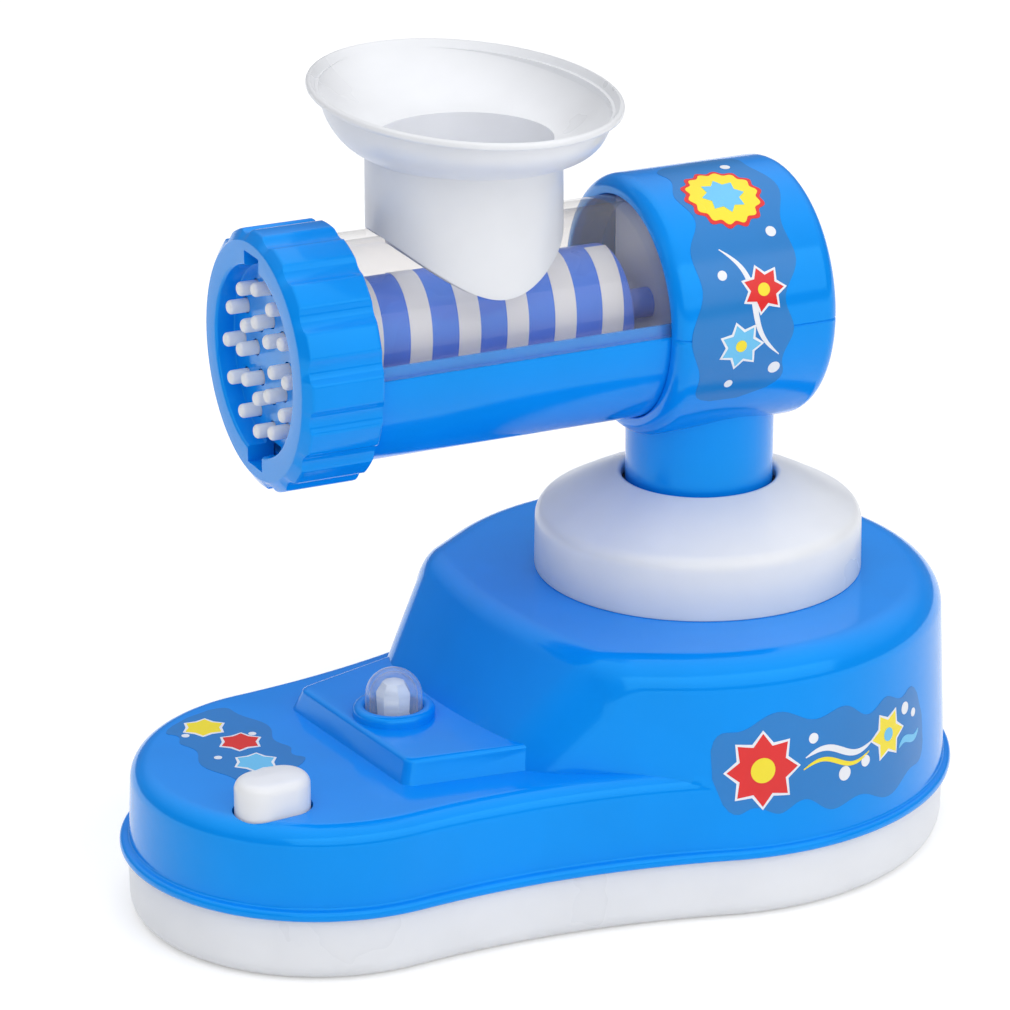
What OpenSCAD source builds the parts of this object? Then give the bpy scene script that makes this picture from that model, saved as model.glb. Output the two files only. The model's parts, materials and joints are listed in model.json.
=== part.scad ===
// Toy meat grinder with a swivelling head on a shoe-shaped base, in millimetres.
// The base lies along X with its toe at -X and stands on the floor at z = 0.

/* [Base] */
// Radius of the round heel end, at the flange
heel_r = 55.9; // [52:0.1:62]
// Radius of the round toe end, at the flange
toe_r = 39.9; // [38:0.1:46]
// Distance between the centres of the heel and toe rounds
heel_to_toe = 83.5; // [80:0.5:95]
// Radius of the hollow flanks between heel and toe
flank_r = 166; // [150:1:260]
// Height of the white tray below the flange
tray_h = 13.6; // [12:0.1:16]
// Thickness of the flange
flange_t = 2; // [1.5:0.1:3]
// How far the flange stands out from the wall above it
flange_out = 1.8; // [1.2:0.1:2.6]
// Height of the toe deck
deck_z = 31.7; // [30:0.1:36]
// Height of the flat heel top
heel_z = 54.3; // [50:0.1:62]
// Rounding of the upper edges
edge_r = 6.5; // [4:0.5:8]
// Rounding of the lower edge of the tray
tray_edge_r = 4; // [2:0.5:6]
// Wall thickness of the moulded shells
shell_t = 2; // [1.6:0.1:2.4]
// Inward lean of the shell wall from the flange to the heel top
heel_lean = 1.7; // [0.5:0.1:3]
// Radius of the gently round ramp at deck height
ramp_r = 140; // [120:5:160]
// Foot of the ramp at deck height ahead of the neck's turning axis
ramp_ahead = 64; // [62:0.5:66]
// Radius of the round in front of the heel that the ramp cuts
nose_r = 35.5; // [33:0.5:37]
// Distance of that round ahead of the centre of the heel
nose_ahead = 38.8; // [36:0.2:41]
// Steepness of the ramp in degrees
ramp_angle = 56; // [50:1:65]
// Height of the raised plateau that carries the lamp
plateau_z = 36.4; // [34.5:0.1:38]
// Half width of the plateau at its front edge
plateau_half_front = 21.5; // [16:0.5:24]
// Half width of the plateau where it meets the ramp
plateau_half_back = 27.5; // [22:0.5:30]
// Length of the plateau ahead of the foot of the ramp
plateau_len = 16.5; // [15:0.5:20]

/* [Button and lamp] */
// Distance of the button ahead of the centre of the toe round
button_ahead = 20.8; // [17:0.2:22]
// Sideways place of the button
button_y = -18.2; // [-19:0.2:-14]
// Length of the button
button_len = 15.2; // [12:0.2:16]
// Width of the button
button_w = 10.6; // [8:0.2:11]
// Height of the button above the deck
button_h = 7; // [5.5:0.1:9]
// Travel of the button
button_travel = 2.5; // [1.5:0.1:3]
// Distance of the lamp behind the front of the plateau
lamp_set = 9.2; // [8:0.1:11]
// Radius of the clear lamp dome
lamp_r = 5.7; // [5:0.1:6.5]
// Radius of the collar around the lamp
lamp_collar_r = 8.2; // [7.6:0.1:9.5]
// Height of the collar around the lamp above the plateau
lamp_collar_h = 2.2; // [1.5:0.1:3]

/* [Swivel] */
// Distance of the swivel axis behind the heel centre
pivot_back = 4.3; // [2:0.1:6]
// Angle of the head from straight ahead, in degrees
head_turn = 5.5; // [-20:0.5:20]
// Radius of the white collar
collar_r = 33; // [31:0.1:36]
// Height of the upright wall of the collar
collar_wall_h = 12.2; // [10:0.1:14]
// Height of the whole collar
collar_h = 20.3; // [18:0.1:24]
// Radius of the neck
neck_r = 14.9; // [14:0.1:16]
// Gap between the neck and the collar
collar_gap = 0.7; // [0.4:0.1:1]
// Radius of the journal at the foot of the neck
journal_r = 12.4; // [11.6:0.1:13]

/* [Head] */
// Height of the barrel axis above the floor
barrel_z = 111.5; // [106:0.5:120]
// Outer radius of the barrel
barrel_r = 22.2; // [21.5:0.1:24]
// Wall thickness of the barrel
barrel_t = 1.8; // [1.4:0.1:2.4]
// Distance from the swivel axis to the front of the cap
cap_reach = 96.8; // [94:0.5:105]
// Length of the cap
cap_len = 16.3; // [14:0.1:19]
// Outer radius of the cap
cap_r = 25.6; // [25:0.1:27.5]
// Number of grip flutes around the cap
cap_flutes = 16; // [12:1:20]
// Depth of the grip flutes
flute_depth = 1.1; // [0.5:0.1:1.5]
// Depth of the perforated plate behind the front of the cap
plate_recess = 4; // [3:0.1:5]
// Radius of the housing
housing_r = 26.2; // [25.8:0.1:28]
// Distance of the housing front ahead of the swivel axis
housing_front = 18.4; // [18:0.1:21]
// Distance of the housing rear behind the swivel axis
housing_back = 17.3; // [17:0.1:20]
// Radius of the drum
drum_r = 13; // [11:0.1:15]
// Gap between the rear end of the drum and the housing
drum_gap = 2.9; // [1:0.1:5]

/* [Pins] */
// Number of pins on the outer ring
outer_pins = 12; // [8:1:14]
// Number of pins on the inner ring
inner_pins = 8; // [6:1:9]
// Radius of the outer ring of pins
outer_ring_r = 14.3; // [13.5:0.1:15]
// Radius of the inner ring of pins
inner_ring_r = 7.7; // [7.5:0.1:9]
// Radius of a pin
pin_r = 1.4; // [1:0.05:1.5]
// How far the pins stand out of the plate
pin_out = 4; // [3:0.1:6]
// Stroke of the pins
pin_stroke = 2; // [1:0.1:3]

/* [Hopper] */
// Distance of the chute axis ahead of the swivel axis
chute_reach = 52.1; // [45:0.5:58]
// Outer radius of the chute
chute_r = 19.2; // [18:0.1:20]
// Height of the rim above the floor
rim_z = 160; // [156:0.5:172]
// Height of the foot of the dish above the floor
dish_z = 148.6; // [144:0.2:151]
// Half length of the rim, across the barrel
rim_half_y = 39.4; // [34:0.1:44]
// Half width of the rim, along the barrel
rim_half_x = 28.3; // [26:0.1:32]
// How far the rim stands out from the dish
rim_out = 2.4; // [1.5:0.1:3.5]
// Wall thickness of the hopper
hopper_t = 1.8; // [1.4:0.1:2.4]

/* [Gears] */
// Gear module
gear_m = 0.5; // [0.45:0.01:0.52]
// Teeth of the small gears
small_teeth = 10; // [10:2:10]
// Teeth of the large gears
large_teeth = 40; // [36:4:40]
// Width of a large gear
gear_w = 3.2; // [2.5:0.1:3.5]
// Thinning of each tooth flank
flank_play = 0.07; // [0.05:0.01:0.1]

/* [Motor and cells] */
// Radius of the motor can
motor_r = 7.75; // [7:0.05:8.5]
// Width across the flats of the motor can
motor_flats = 11.6; // [10.5:0.1:13]
// Length of the motor can
motor_len = 13.4; // [12:0.1:13.6]
// Radius of a cell
cell_r = 7.25; // [7:0.05:7.3]
// Length of a cell with its nub
cell_len = 50.5; // [49:0.1:51]

/* [Fits] */
// Radial clearance of a running fit
run_fit = 0.05; // [0.03:0.01:0.08]
// Clearance between parts that move past each other
clear = 0.3; // [0.25:0.05:0.4]
// Clearance between parts that are put together
seat = 0.1; // [0.05:0.05:0.2]

/* [Hidden] */
$fn = 96;
far = 400;
bite = 0.8;
heel_step = 0.4;

// Plan of the base: heel and toe rounds joined by hollow flanks that touch both
heel_x = (heel_to_toe + toe_r - heel_r)/2;
toe_x = heel_x - heel_to_toe;
pivot_x = heel_x + pivot_back;
flank_to_heel = heel_r + flank_r;
flank_to_toe = toe_r + flank_r;
flank_dx = (pow(flank_to_heel, 2) - pow(flank_to_toe, 2) + pow(heel_to_toe, 2))/(2*heel_to_toe);
flank_x = heel_x - flank_dx;
flank_y = sqrt(pow(flank_to_heel, 2) - pow(flank_dx, 2));
heel_angle = atan2(flank_y, flank_x - heel_x);
toe_angle = atan2(flank_y, flank_x - toe_x);

// Plateau ahead of the ramp
plateau_slope = 1.6;
ramp_foot = pivot_x - ramp_ahead;
ramp_x = ramp_foot + ramp_r;
plateau_front = ramp_foot - plateau_len;
plateau_back = ramp_foot + 10;

// Sides of the heel run straight from its round to the nose round and touch both
nose_x = heel_x - nose_ahead;
nose_angle = 180 - acos((heel_r - nose_r)/nose_ahead);
nose_step = 0.2;

// Screws
screw_r = 1.3;
screw_head_r = 2.6;
screw_head_h = 1.8;
small_screw_r = 0.9;
small_head_r = 1.8;
small_head_h = 1.2;
boss_r = 3.2;
small_boss_r = 2.2;
thread_fit = 0.05;
hole_fit = 0.15;
head_fit = 0.3;
screw_sink = 3;
base_screw_len = 19;
door_screw_len = 8;
collar_screw_len = 8;
lamp_screw_len = 5;
board_screw_len = 6;
retainer_screw_len = 6;
gearbox_screw_len = 6;
motor_screw_grip = 3;
housing_screw_len = 16;
housing_screw_sink = 8;
base_screw_spots = [[toe_x - toe_r + 9.6, 0], [toe_x + 14, 31], [toe_x + 14, -31],
    [heel_x + heel_r - 14, 0]];

// Battery compartment in the tray
floor_t = 1.8;
door_t = 1.6;
cell_pitch = 2*cell_r + 0.7;
cell_z = floor_t + cell_r + 0.4;
contact_t = 0.4;
spring_len = 4;
contact_spring_r = 3.4;
contact_wire_r = 0.4;
plate_margin = 1.5;
plate_lift = 2;
bay_behind = 29;
bay_x = toe_x + bay_behind;
bay_half_x = cell_len/2 + spring_len/2 + contact_t + 0.6;
bay_half_y = cell_pitch + 0.6;
bay_t = 1.5;
bay_top = cell_z + cell_r + 0.5;
door_tab = 12;
door_margin = 1.2;
door_lift = 0.2;
tab_w = 2.4;
tab_out = 2;
tab_z = bay_top - 4;
door_screw_x = bay_x + bay_half_x + bay_t + door_tab/2;
door_head_h = 0.8;

// Button and switch
button_x = toe_x - button_ahead;
deck_under = deck_z - shell_t;
button_flange_t = 1.6;
button_flange_shift = 2;
button_foot = deck_under - 0.4 - button_flange_t;
switch_w = 8;
switch_h = 7;
switch_top = button_foot - button_travel - 3.7;
board_t = 1.6;
board_len = 39;
board_w = 9.4;
board_edge = 5;
board_screws = [11, 30];
plunger_r = 1.5;
plunger_depth = 2.5;
button_spring_r = 2.8;
button_wire_r = 0.35;

// Lamp
lamp_x = plateau_front + lamp_set;
plateau_under = plateau_z - shell_t;
lamp_top_z = plateau_z + lamp_collar_h;
lamp_wall = 0.9;
lamp_foot_r = lamp_r + 1.8;
lamp_foot_t = 1.5;
lamp_center_z = lamp_top_z + 1.7;
lamp_foot_z = plateau_under - seat - lamp_foot_t;
led_r = 2.5;
lamp_board_z = lamp_foot_z - 6.5;
lamp_board_half = 12;
lamp_screw_x = 9.8;

// Leads
lead_r = 0.6;
tab_x = bay_x + bay_half_x + bay_t + tab_out - 1.2;
tab_top = tab_z + contact_t + lead_r + 0.05;
board_lead_x = button_x + 3.4;
board_top = switch_top - switch_h + lead_r + 0.05;
board_lead_y = button_y + 33;

// Swivel
collar_hole_r = neck_r + collar_gap;
bearing_h = 6;
bearing_r = journal_r + 4.6;
journal_bore_r = 8;
lead_way = 4;
retainer_t = 2;
collar_screw_ring = collar_r - shell_t - boss_r + bite;
collar_screw_angles = [30, 150, 270];
neck_bottom = heel_z + clear - barrel_z;
journal_bottom = heel_z - bearing_h - clear - barrel_z;
neck_wall = 2.2;

// Head, measured along the barrel from the swivel axis, with the barrel axis at z = 0
x_cap_front = -cap_reach;
x_cap_rear = x_cap_front + cap_len;
x_plate_front = x_cap_front + plate_recess;
plate_t = 1.5;
x_plate_rear = x_plate_front + plate_t;
x_barrel_front = x_plate_rear + 0.4;
barrel_in_housing = 6;
x_barrel_rear = -housing_front + barrel_in_housing;
barrel_in_r = barrel_r - barrel_t;
housing_t = shell_t;
housing_in_r = housing_r - housing_t;
housing_round = 3;
housing_screw_x = -x_barrel_rear - boss_r - clear;
housing_screw_y = 17.5;
lip_t = 0.8;
lip_h = 2.1;
lip_root = 2.4;
cap_lip_r = 18.6;
notch_half = 3.5;
notch_in = 16.8;
notch_out = 21.4;

// Pin carrier and drum along the barrel
x_carrier_front = x_plate_rear + clear;
carrier_t = 1.6;
x_carrier_rear = x_carrier_front + carrier_t;
carrier_r = outer_ring_r + pin_r + 1;
cup_depth = 4;
cup_floor = 1;
x_cup_rear = x_carrier_rear + cup_depth;
cup_r = inner_ring_r - pin_r - 0.4;
cup_wall = 1;
hub_r = 3;
hub_hole_r = hub_r + clear;
drum_pin_r = 1.5;
cam_h = 1;
cam_lobes = 3;
cam_r = 1.1;
x_drum_front = x_cup_rear + pin_stroke + clear + 0.1 + cam_h;
x_drum_rear = -housing_front - drum_gap;
drum_t = 1.5;
drum_shaft_r = 3;
x_hub_rear = x_drum_front - cam_h - 1.4;

// Gear train behind the barrel
small_pitch_r = gear_m*small_teeth/2;
large_pitch_r = gear_m*large_teeth/2;
gear_c = small_pitch_r + large_pitch_r;
gear_gap = 0.4;
x_front_plate = x_barrel_rear + gear_gap;
gearbox_t = 2;
x_drum_gear = x_front_plate + gearbox_t + gear_gap;
x_drum_gear_end = x_drum_gear + gear_w;
x_wheel = x_drum_gear_end + gear_gap;
x_wheel_end = x_wheel + gear_w;
x_rear_plate = x_wheel_end + 0.6;
x_motor = x_rear_plate + gearbox_t;
pillar_r = 2.4;
pillar_ring = 18.5;
pillar_angles = [-52, -90, -128];
axle_r = 0.75;
motor_shaft_r = 0.75;
motor_boss_r = 3;
motor_screw_y = 5;
motor_terminal_y = 4.5;
gearbox_plate_r = housing_in_r - seat;
gearbox_half = housing_screw_y - boss_r - seat;

// Hopper, measured from the barrel axis
hopper_seat_r = barrel_r + clear;
spigot_r = chute_r - 3.9;
spigot_t = 1.5;
spigot_seat_r = barrel_in_r - 1.5;
window_hole_r = spigot_r + clear;
hopper_sides = 60;

// Points of an arc, without its last point
function arc(c, r, a0, a1, n) = [for (i = [0:n - 1]) let (a = a0 + (a1 - a0)*i/n) c + r*[cos(a), sin(a)]];

// Corner b of the path a, b, c rounded with radius r
function unit(v) = v/norm(v);
function rounded(a, b, c, r, n = 6) =
    let (u = unit(a - b), v = unit(c - b), half = acos(u*v)/2, w = unit(u + v), m = b + w*r/sin(half),
        start = atan2((b + u*r/tan(half) - m)[1], (b + u*r/tan(half) - m)[0]),
        end = atan2((b + v*r/tan(half) - m)[1], (b + v*r/tan(half) - m)[0]),
        turn = ((end - start + 540) % 360) - 180)
    [for (i = [0:n]) m + r*[cos(start + turn*i/n), sin(start + turn*i/n)]];

// Plan of the toe and flanks, set in by d from the edge of the flange, and plan of the whole base
flank_n = 8;
toe_n = 30;
heel_n = 44;
function toe_plan(d) = concat(
    arc([flank_x, flank_y], flank_r + d, heel_angle - 180, toe_angle - 180, flank_n),
    arc([toe_x, 0], toe_r - d, toe_angle, 360 - toe_angle, toe_n),
    arc([flank_x, -flank_y], flank_r + d, 180 - toe_angle, 180 - heel_angle, flank_n),
    [[heel_x, 0] + (heel_r - d)*[cos(heel_angle), -sin(heel_angle)]]);
function base_plan(d) = concat(arc([heel_x, 0], heel_r - d, -heel_angle, heel_angle, heel_n),
    [for (i = [0:len(toe_plan(d)) - 2]) toe_plan(d)[i]]);

// Plan of the nose of the heel, from its straight sides round its front
nose_n = 16;
function nose_plan(d) = concat([[heel_x, 0] + (heel_r - d)*[cos(nose_angle), sin(nose_angle)]],
    arc([nose_x, 0], nose_r - d, nose_angle, 360 - nose_angle, nose_n),
    [for (c = [[nose_x, nose_r], [heel_x, heel_r]])
        [c[0], 0] + (c[1] - d)*[cos(nose_angle), -sin(nose_angle)]]);

// Flat cap of a ring of n points that is even about its point s, in strips across the ring
function strips(n, s) = [for (i = [0:floor(n/2) - 1])
    let (a = (s + i) % n, b = (s + i + 1) % n, c = (s - i - 1 + n) % n, d = (s - i + n) % n)
    i == 0 ? [a, b, c] : b == c ? [a, b, d] : [a, b, c, d]];

// Solid through rings of points that have equal counts, capped at both ends; even is the point for strips
module loft(rings, even = -1) {
    n = len(rings[0]);
    m = len(rings);
    cap = even < 0 ? [[for (i = [0:n - 1]) i]] : strips(n, even);
    last = (m - 1)*n;
    sides = [for (j = [0:m - 2]) for (i = [0:n - 1]) let (k = (i + 1) % n)
        each [[j*n + i, (j + 1)*n + i, (j + 1)*n + k], [j*n + i, (j + 1)*n + k, j*n + k]]];
    end_cap = [for (face = cap) [for (i = [len(face) - 1:-1:0]) last + face[i]]];
    polyhedron([for (ring = rings) each ring], concat(sides, cap, end_cap));
}

// Solid whose rings close on themselves, such as the wall of a dish
module loop_loft(rings) {
    n = len(rings[0]);
    m = len(rings);
    faces = [for (j = [0:m - 1]) for (i = [0:n - 1]) let (k = (i + 1) % n, l = (j + 1) % m)
        each [[j*n + i, l*n + i, l*n + k], [j*n + i, l*n + k, j*n + k]]];
    polyhedron([for (ring = rings) each ring], faces);
}

// Inward lean of the wall at height z
function lean(z) = heel_lean*(z - tray_h)/(heel_z - tray_h);

// Insets and heights of a wall that starts with inset d, leans from z0 to z1 and has its edge rounded by r
function wall_levels(d, z0, z1, r, steps = 4) = let (top_d = d + lean(z1 - r))
    concat([[d + lean(z0), z0]], [for (i = [0:steps])
        [top_d + r*(1 - cos(90*i/steps)), z1 - r + r*sin(90*i/steps)]]);

// Blocks of the toe and of the nose, with such walls
module toe_block(d, z0, z1, r) {
    loft([for (q = wall_levels(d, z0, z1, r)) [for (p = toe_plan(q[0])) [p[0], p[1], q[1]]]],
        flank_n + toe_n/2);
}

module nose_block(d, z0, z1, r) {
    loft([for (q = wall_levels(d, z0, z1, r)) [for (p = nose_plan(q[0])) [p[0], p[1], q[1]]]],
        1 + nose_n/2);
}

// Foot block with its lower edge rounded by r
module tray_block(d, z0, z1, r) {
    steps = 4;
    edge = [for (i = [0:steps]) [d + r*(1 - sin(90*i/steps)), z0 + r - r*cos(90*i/steps)]];
    loft([for (q = concat(edge, [[d, z1]])) [for (p = base_plan(q[0])) [p[0], p[1], q[1]]]], heel_n/2);
}

// Tube along a helix, with its two ends cut square
module coil(r, wire_r, length, turns) {
    rings = turns*10;
    path = [for (i = [0:rings]) let (a = 36*i) [r*cos(a), r*sin(a), wire_r + (length - 2*wire_r)*i/rings]];
    loft([for (p = path) let (out = [p[0], p[1], 0]/r)
        [for (s = [0:5]) p + wire_r*(cos(-60*s)*out + [0, 0, sin(-60*s)])]]);
}

// Cylinder along X from x0 to x1
module bar(r, x0, x1, sides = 96) {
    translate([x0, 0, 0]) rotate([0, 90, 0]) cylinder(r = r, h = x1 - x0, $fn = sides);
}

// Outline with length along X and round ends
module slot_plan(length, width) {
    square([length - width, width], center = true);
    for (side = [-1, 1]) translate([side*(length - width)/2, 0]) circle(d = width);
}

// Screw that points up, with its head below z = 0
module screw(length, r, head_r, head_h) {
    difference() {
        union() {
            translate([0, 0, -head_h]) cylinder(r = head_r, h = head_h, $fn = 32);
            translate([0, 0, -head_h/2]) cylinder(r = r, h = length + head_h/2, $fn = 32);
        }
        for (turn = [0, 90]) rotate(turn) translate([-head_r*0.6, -head_r*0.12, -head_h - 1])
            cube([head_r*1.2, head_r*0.24, 1 + head_h*0.45]);
    }
}

// Places a child in the frame of the head: swivel axis and barrel axis cross at its origin
module on_head() {
    translate([pivot_x, 0, barrel_z]) rotate(-head_turn) children();
}

// Involute gear outline, centred on its axis with a tooth on the X axis
function involute(a) = tan(a)*180/PI - a;
function tooth_half(r, base_r, pitch_r, teeth) =
    90/teeth - flank_play/pitch_r*180/PI + involute(20) - (r > base_r ? involute(acos(base_r/r)) : 0);
function gear_points(teeth) =
    let (pitch_r = gear_m*teeth/2, base_r = pitch_r*cos(20), root = pitch_r - 1.25*gear_m,
        tip = pitch_r + 0.9*gear_m,
        radii = [root, max(root + 0.05, base_r), pitch_r, (pitch_r + tip)/2, tip], last = len(radii) - 1)
    [for (t = [0:teeth - 1]) for (i = [0:2*last + 1])
        let (k = i <= last ? i : 2*last + 1 - i, side = i <= last ? -1 : 1, r = radii[k],
            a = 360*t/teeth + side*tooth_half(r, base_r, pitch_r, teeth))
        r*[cos(a), sin(a)]];

// Gear along X from x0 to x1, turned about the X axis
module gear(teeth, x0, x1) {
    translate([x0, 0, 0]) rotate([90, 0, 90]) linear_extrude(x1 - x0) polygon(gear_points(teeth));
}

// Heel and nose from z = low with a rounded top, cut by the conical ramp; g sets every face in
module heel_block(g, low) {
    wall_r = heel_r - flange_out + heel_step - g;
    top = heel_z - g;
    wall_foot = [wall_r - lean(low), low];
    wall_top = [wall_r - heel_lean, top];
    slope = tan(ramp_angle);
    cone_low = [ramp_r - g/sin(ramp_angle) + (deck_z - low)/slope, low];
    cone_top = [ramp_r - g/sin(ramp_angle) - (top - deck_z)/slope, top];
    intersection() {
        union() {
            translate([heel_x, 0, 0]) rotate_extrude()
                polygon(concat([[0, low], wall_foot], rounded(wall_foot, wall_top, [0, top], edge_r - g),
                    [[0, top]]));
            nose_block(flange_out - heel_step + g + nose_step, low, top, edge_r - g);
        }
        translate([ramp_x, 0, 0]) rotate_extrude()
            polygon(concat([[0, low - 1], cone_low], rounded(cone_low, cone_top, [0, top], edge_r - g),
                [[0, top]]));
    }
}

// Raised plateau with sloped sides; g sets its faces in
module plateau_block(g) {
    x_front = plateau_front;
    x_back = plateau_back + g;
    levels = [[-plateau_slope + g, deck_z - edge_r], [-plateau_slope + g, deck_z], [g, plateau_z - g]];
    loft([for (q = levels) [[x_front + q[0], -plateau_half_front + q[0], q[1]],
        [x_back, -plateau_half_back + q[0], q[1]],
        [x_back, plateau_half_back - q[0], q[1]], [x_front + q[0], plateau_half_front - q[0], q[1]]]]);
}

module base_tray() {
    color("white") difference() {
        union() {
            difference() {
                tray_block(flange_out, 0, tray_h, tray_edge_r);
                tray_block(flange_out + shell_t, floor_t, tray_h + 1, tray_edge_r - 1);
            }
            for (spot = base_screw_spots) translate([spot[0], spot[1], floor_t - bite])
                cylinder(r = boss_r + 1.2, h = tray_h - floor_t + bite);
            translate([bay_x - bay_half_x - bay_t, -bay_half_y - bay_t, floor_t - bite])
                cube([2*(bay_half_x + bay_t), 2*(bay_half_y + bay_t), bay_top + bay_t - floor_t + bite]);
            translate([bay_x + bay_half_x, -bay_half_y - bay_t, floor_t - bite])
                cube([2*bay_t + door_tab, 2*(bay_half_y + bay_t), floor_t + bite]);
            translate([door_screw_x, 0, floor_t]) cylinder(r = boss_r, h = tray_h - floor_t - 2);
        }
        for (spot = base_screw_spots) translate([spot[0], spot[1], -1]) {
            cylinder(r = screw_head_r + head_fit, h = screw_sink + screw_head_h + 1, $fn = 32);
            cylinder(r = screw_r + hole_fit, h = far, $fn = 32);
        }
        translate([bay_x - bay_half_x, -bay_half_y, -1]) cube([2*bay_half_x, 2*bay_half_y, bay_top + 1]);
        translate([bay_x - bay_half_x - door_margin, -bay_half_y - door_margin, -1])
            cube([2*bay_half_x + bay_t + door_tab + 2*door_margin, 2*(bay_half_y + door_margin),
                door_t + 1]);
        translate([door_screw_x, 0, -1]) cylinder(r = screw_r + thread_fit, h = tray_h - 2, $fn = 32);
        for (side = [-1, 1]) translate([bay_x + bay_half_x - 1, side*cell_pitch/2 - tab_w/2 - seat,
            tab_z - seat])
            cube([bay_t + 2, tab_w + 2*seat, contact_t + 2*seat]);
    }
}

// Bosses inside the shell, running up through its skin
module shell_bosses() {
    translate([pivot_x, 0, heel_z - bearing_h]) cylinder(r = bearing_r, h = far);
    for (spot = base_screw_spots) translate([spot[0], spot[1], tray_h]) cylinder(r = boss_r, h = far);
    for (y = board_screws) translate([button_x, button_y + y, switch_top - switch_h])
        cylinder(r = small_boss_r, h = far);
    for (side = [-1, 1]) translate([lamp_x, side*lamp_screw_x, lamp_board_z + board_t])
        cylinder(r = small_boss_r, h = far);
}

module base_shell() {
    color("dodgerblue") difference() {
        union() {
            toe_block(flange_out, tray_h + flange_t/2, deck_z, edge_r);
            translate([0, 0, tray_h]) linear_extrude(flange_t) polygon(base_plan(0));
            heel_block(0, tray_h + flange_t*0.75);
            plateau_block(0);
            translate([lamp_x, 0, plateau_z - 1]) cylinder(r = lamp_collar_r, h = lamp_collar_h + 1);
        }
        difference() {
            union() {
                toe_block(flange_out + shell_t, tray_h - 1, deck_under, edge_r - shell_t);
                heel_block(shell_t, tray_h - 2);
                plateau_block(shell_t);
            }
            shell_bosses();
        }
        for (spot = base_screw_spots) translate([spot[0], spot[1], tray_h - 1])
            cylinder(r = screw_r + thread_fit,
                h = base_screw_len - tray_h + screw_sink + screw_head_h + 2, $fn = 32);
        for (y = board_screws) translate([button_x, button_y + y, switch_top - switch_h - 1])
            cylinder(r = small_screw_r + thread_fit, h = board_screw_len + 2, $fn = 32);
        for (side = [-1, 1]) translate([lamp_x, side*lamp_screw_x, lamp_board_z])
            cylinder(r = small_screw_r + thread_fit, h = lamp_screw_len + 1.5, $fn = 32);
        for (a = collar_screw_angles) translate([pivot_x, 0, 0]) rotate(a)
            translate([collar_screw_ring, 0, heel_z - shell_t - 1])
            cylinder(r = screw_r + hole_fit, h = shell_t + 2, $fn = 32);
        translate([pivot_x, 0, heel_z - bearing_h - 1])
            cylinder(r = journal_r + run_fit, h = bearing_h + 2);
        translate([lamp_x, 0, plateau_under - 1]) cylinder(r = lamp_r + seat, h = far);
        translate([button_x, button_y, deck_under - 4]) linear_extrude(far)
            slot_plan(button_len + 2*clear, button_w + 2*clear);
    }
}

module base_screws() {
    color("silver") for (spot = base_screw_spots) translate([spot[0], spot[1], screw_sink + screw_head_h])
        screw(base_screw_len, screw_r, screw_head_r, screw_head_h);
}

module battery_door() {
    color("white") difference() {
        translate([bay_x - bay_half_x - door_margin + seat, -bay_half_y - door_margin + seat, door_lift])
            cube([2*bay_half_x + bay_t + door_tab + 2*(door_margin - seat),
                2*(bay_half_y + door_margin - seat), door_t - door_lift]);
        translate([door_screw_x, 0, -1]) {
            cylinder(r = screw_r + hole_fit, h = door_t + 2, $fn = 32);
            cylinder(r = screw_head_r + head_fit, h = 1 + door_lift + door_head_h, $fn = 32);
        }
    }
}

module battery_door_screw() {
    color("silver") translate([door_screw_x, 0, door_lift + door_head_h])
        screw(door_screw_len, screw_r, screw_head_r, door_head_h - seat);
}

module battery_cells() {
    nub = 1.2;
    color("goldenrod") for (side = [-1, 1])
        translate([bay_x + side*spring_len/2, side*cell_pitch/2, cell_z])
        rotate([0, side*90, 0]) translate([0, 0, -cell_len/2]) {
            cylinder(r = cell_r, h = cell_len - nub);
            cylinder(r = 2.6, h = cell_len, $fn = 48);
        }
}

module battery_contacts() {
    plate_w = 2*(cell_r - plate_margin);
    plate_z = floor_t + plate_lift;
    plate_h = bay_top - plate_z - 1;
    x_end = bay_half_x - contact_t;
    color("silver") {
        translate([bay_x - bay_half_x, -cell_pitch/2 - plate_w/2, plate_z])
            cube([contact_t, cell_pitch + plate_w, plate_h]);
        for (side = [-1, 1]) {
            translate([bay_x + x_end, side*cell_pitch/2 - plate_w/2, plate_z])
                cube([contact_t, plate_w, plate_h]);
            translate([bay_x + x_end, side*cell_pitch/2 - tab_w/2, tab_z])
                cube([contact_t + bay_t + tab_out, tab_w, contact_t]);
        }
    }
}

module contact_springs() {
    gap = bay_half_x - contact_t - cell_len/2 + spring_len/2;
    color("silver") for (side = [-1, 1])
        translate([bay_x + side*(bay_half_x - contact_t), -side*cell_pitch/2, cell_z])
        rotate([0, -side*90, 0]) translate([0, 0, seat])
            coil(contact_spring_r, contact_wire_r, gap - 2*seat, 3);
}

module swivel_collar() {
    wall_top = [collar_r, heel_z + collar_wall_h];
    peak = [collar_hole_r, heel_z + collar_h];
    in_top = [collar_r - shell_t, heel_z + collar_wall_h - shell_t/2];
    in_peak = [collar_hole_r + 1.5, heel_z + collar_h - shell_t - 0.4];
    color("white") translate([pivot_x, 0, 0]) difference() {
        union() {
            rotate_extrude() polygon(concat([[collar_r - shell_t, heel_z], [collar_r, heel_z]],
                rounded([collar_r, heel_z], wall_top, peak, 4),
                [peak, [collar_hole_r, heel_z + collar_h - 3], in_peak, in_top]));
            for (a = collar_screw_angles) rotate(a) translate([collar_screw_ring, 0, heel_z + seat])
                cylinder(r = boss_r, h = collar_wall_h - 2 - seat);
        }
        for (a = collar_screw_angles) rotate(a) translate([collar_screw_ring, 0, heel_z - 1])
            cylinder(r = screw_r + thread_fit, h = collar_screw_len + 1, $fn = 32);
    }
}

module collar_screws() {
    color("silver") translate([pivot_x, 0, heel_z - shell_t]) for (a = collar_screw_angles) rotate(a)
        translate([collar_screw_ring, 0, 0]) screw(collar_screw_len, screw_r, screw_head_r, screw_head_h);
}

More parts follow.
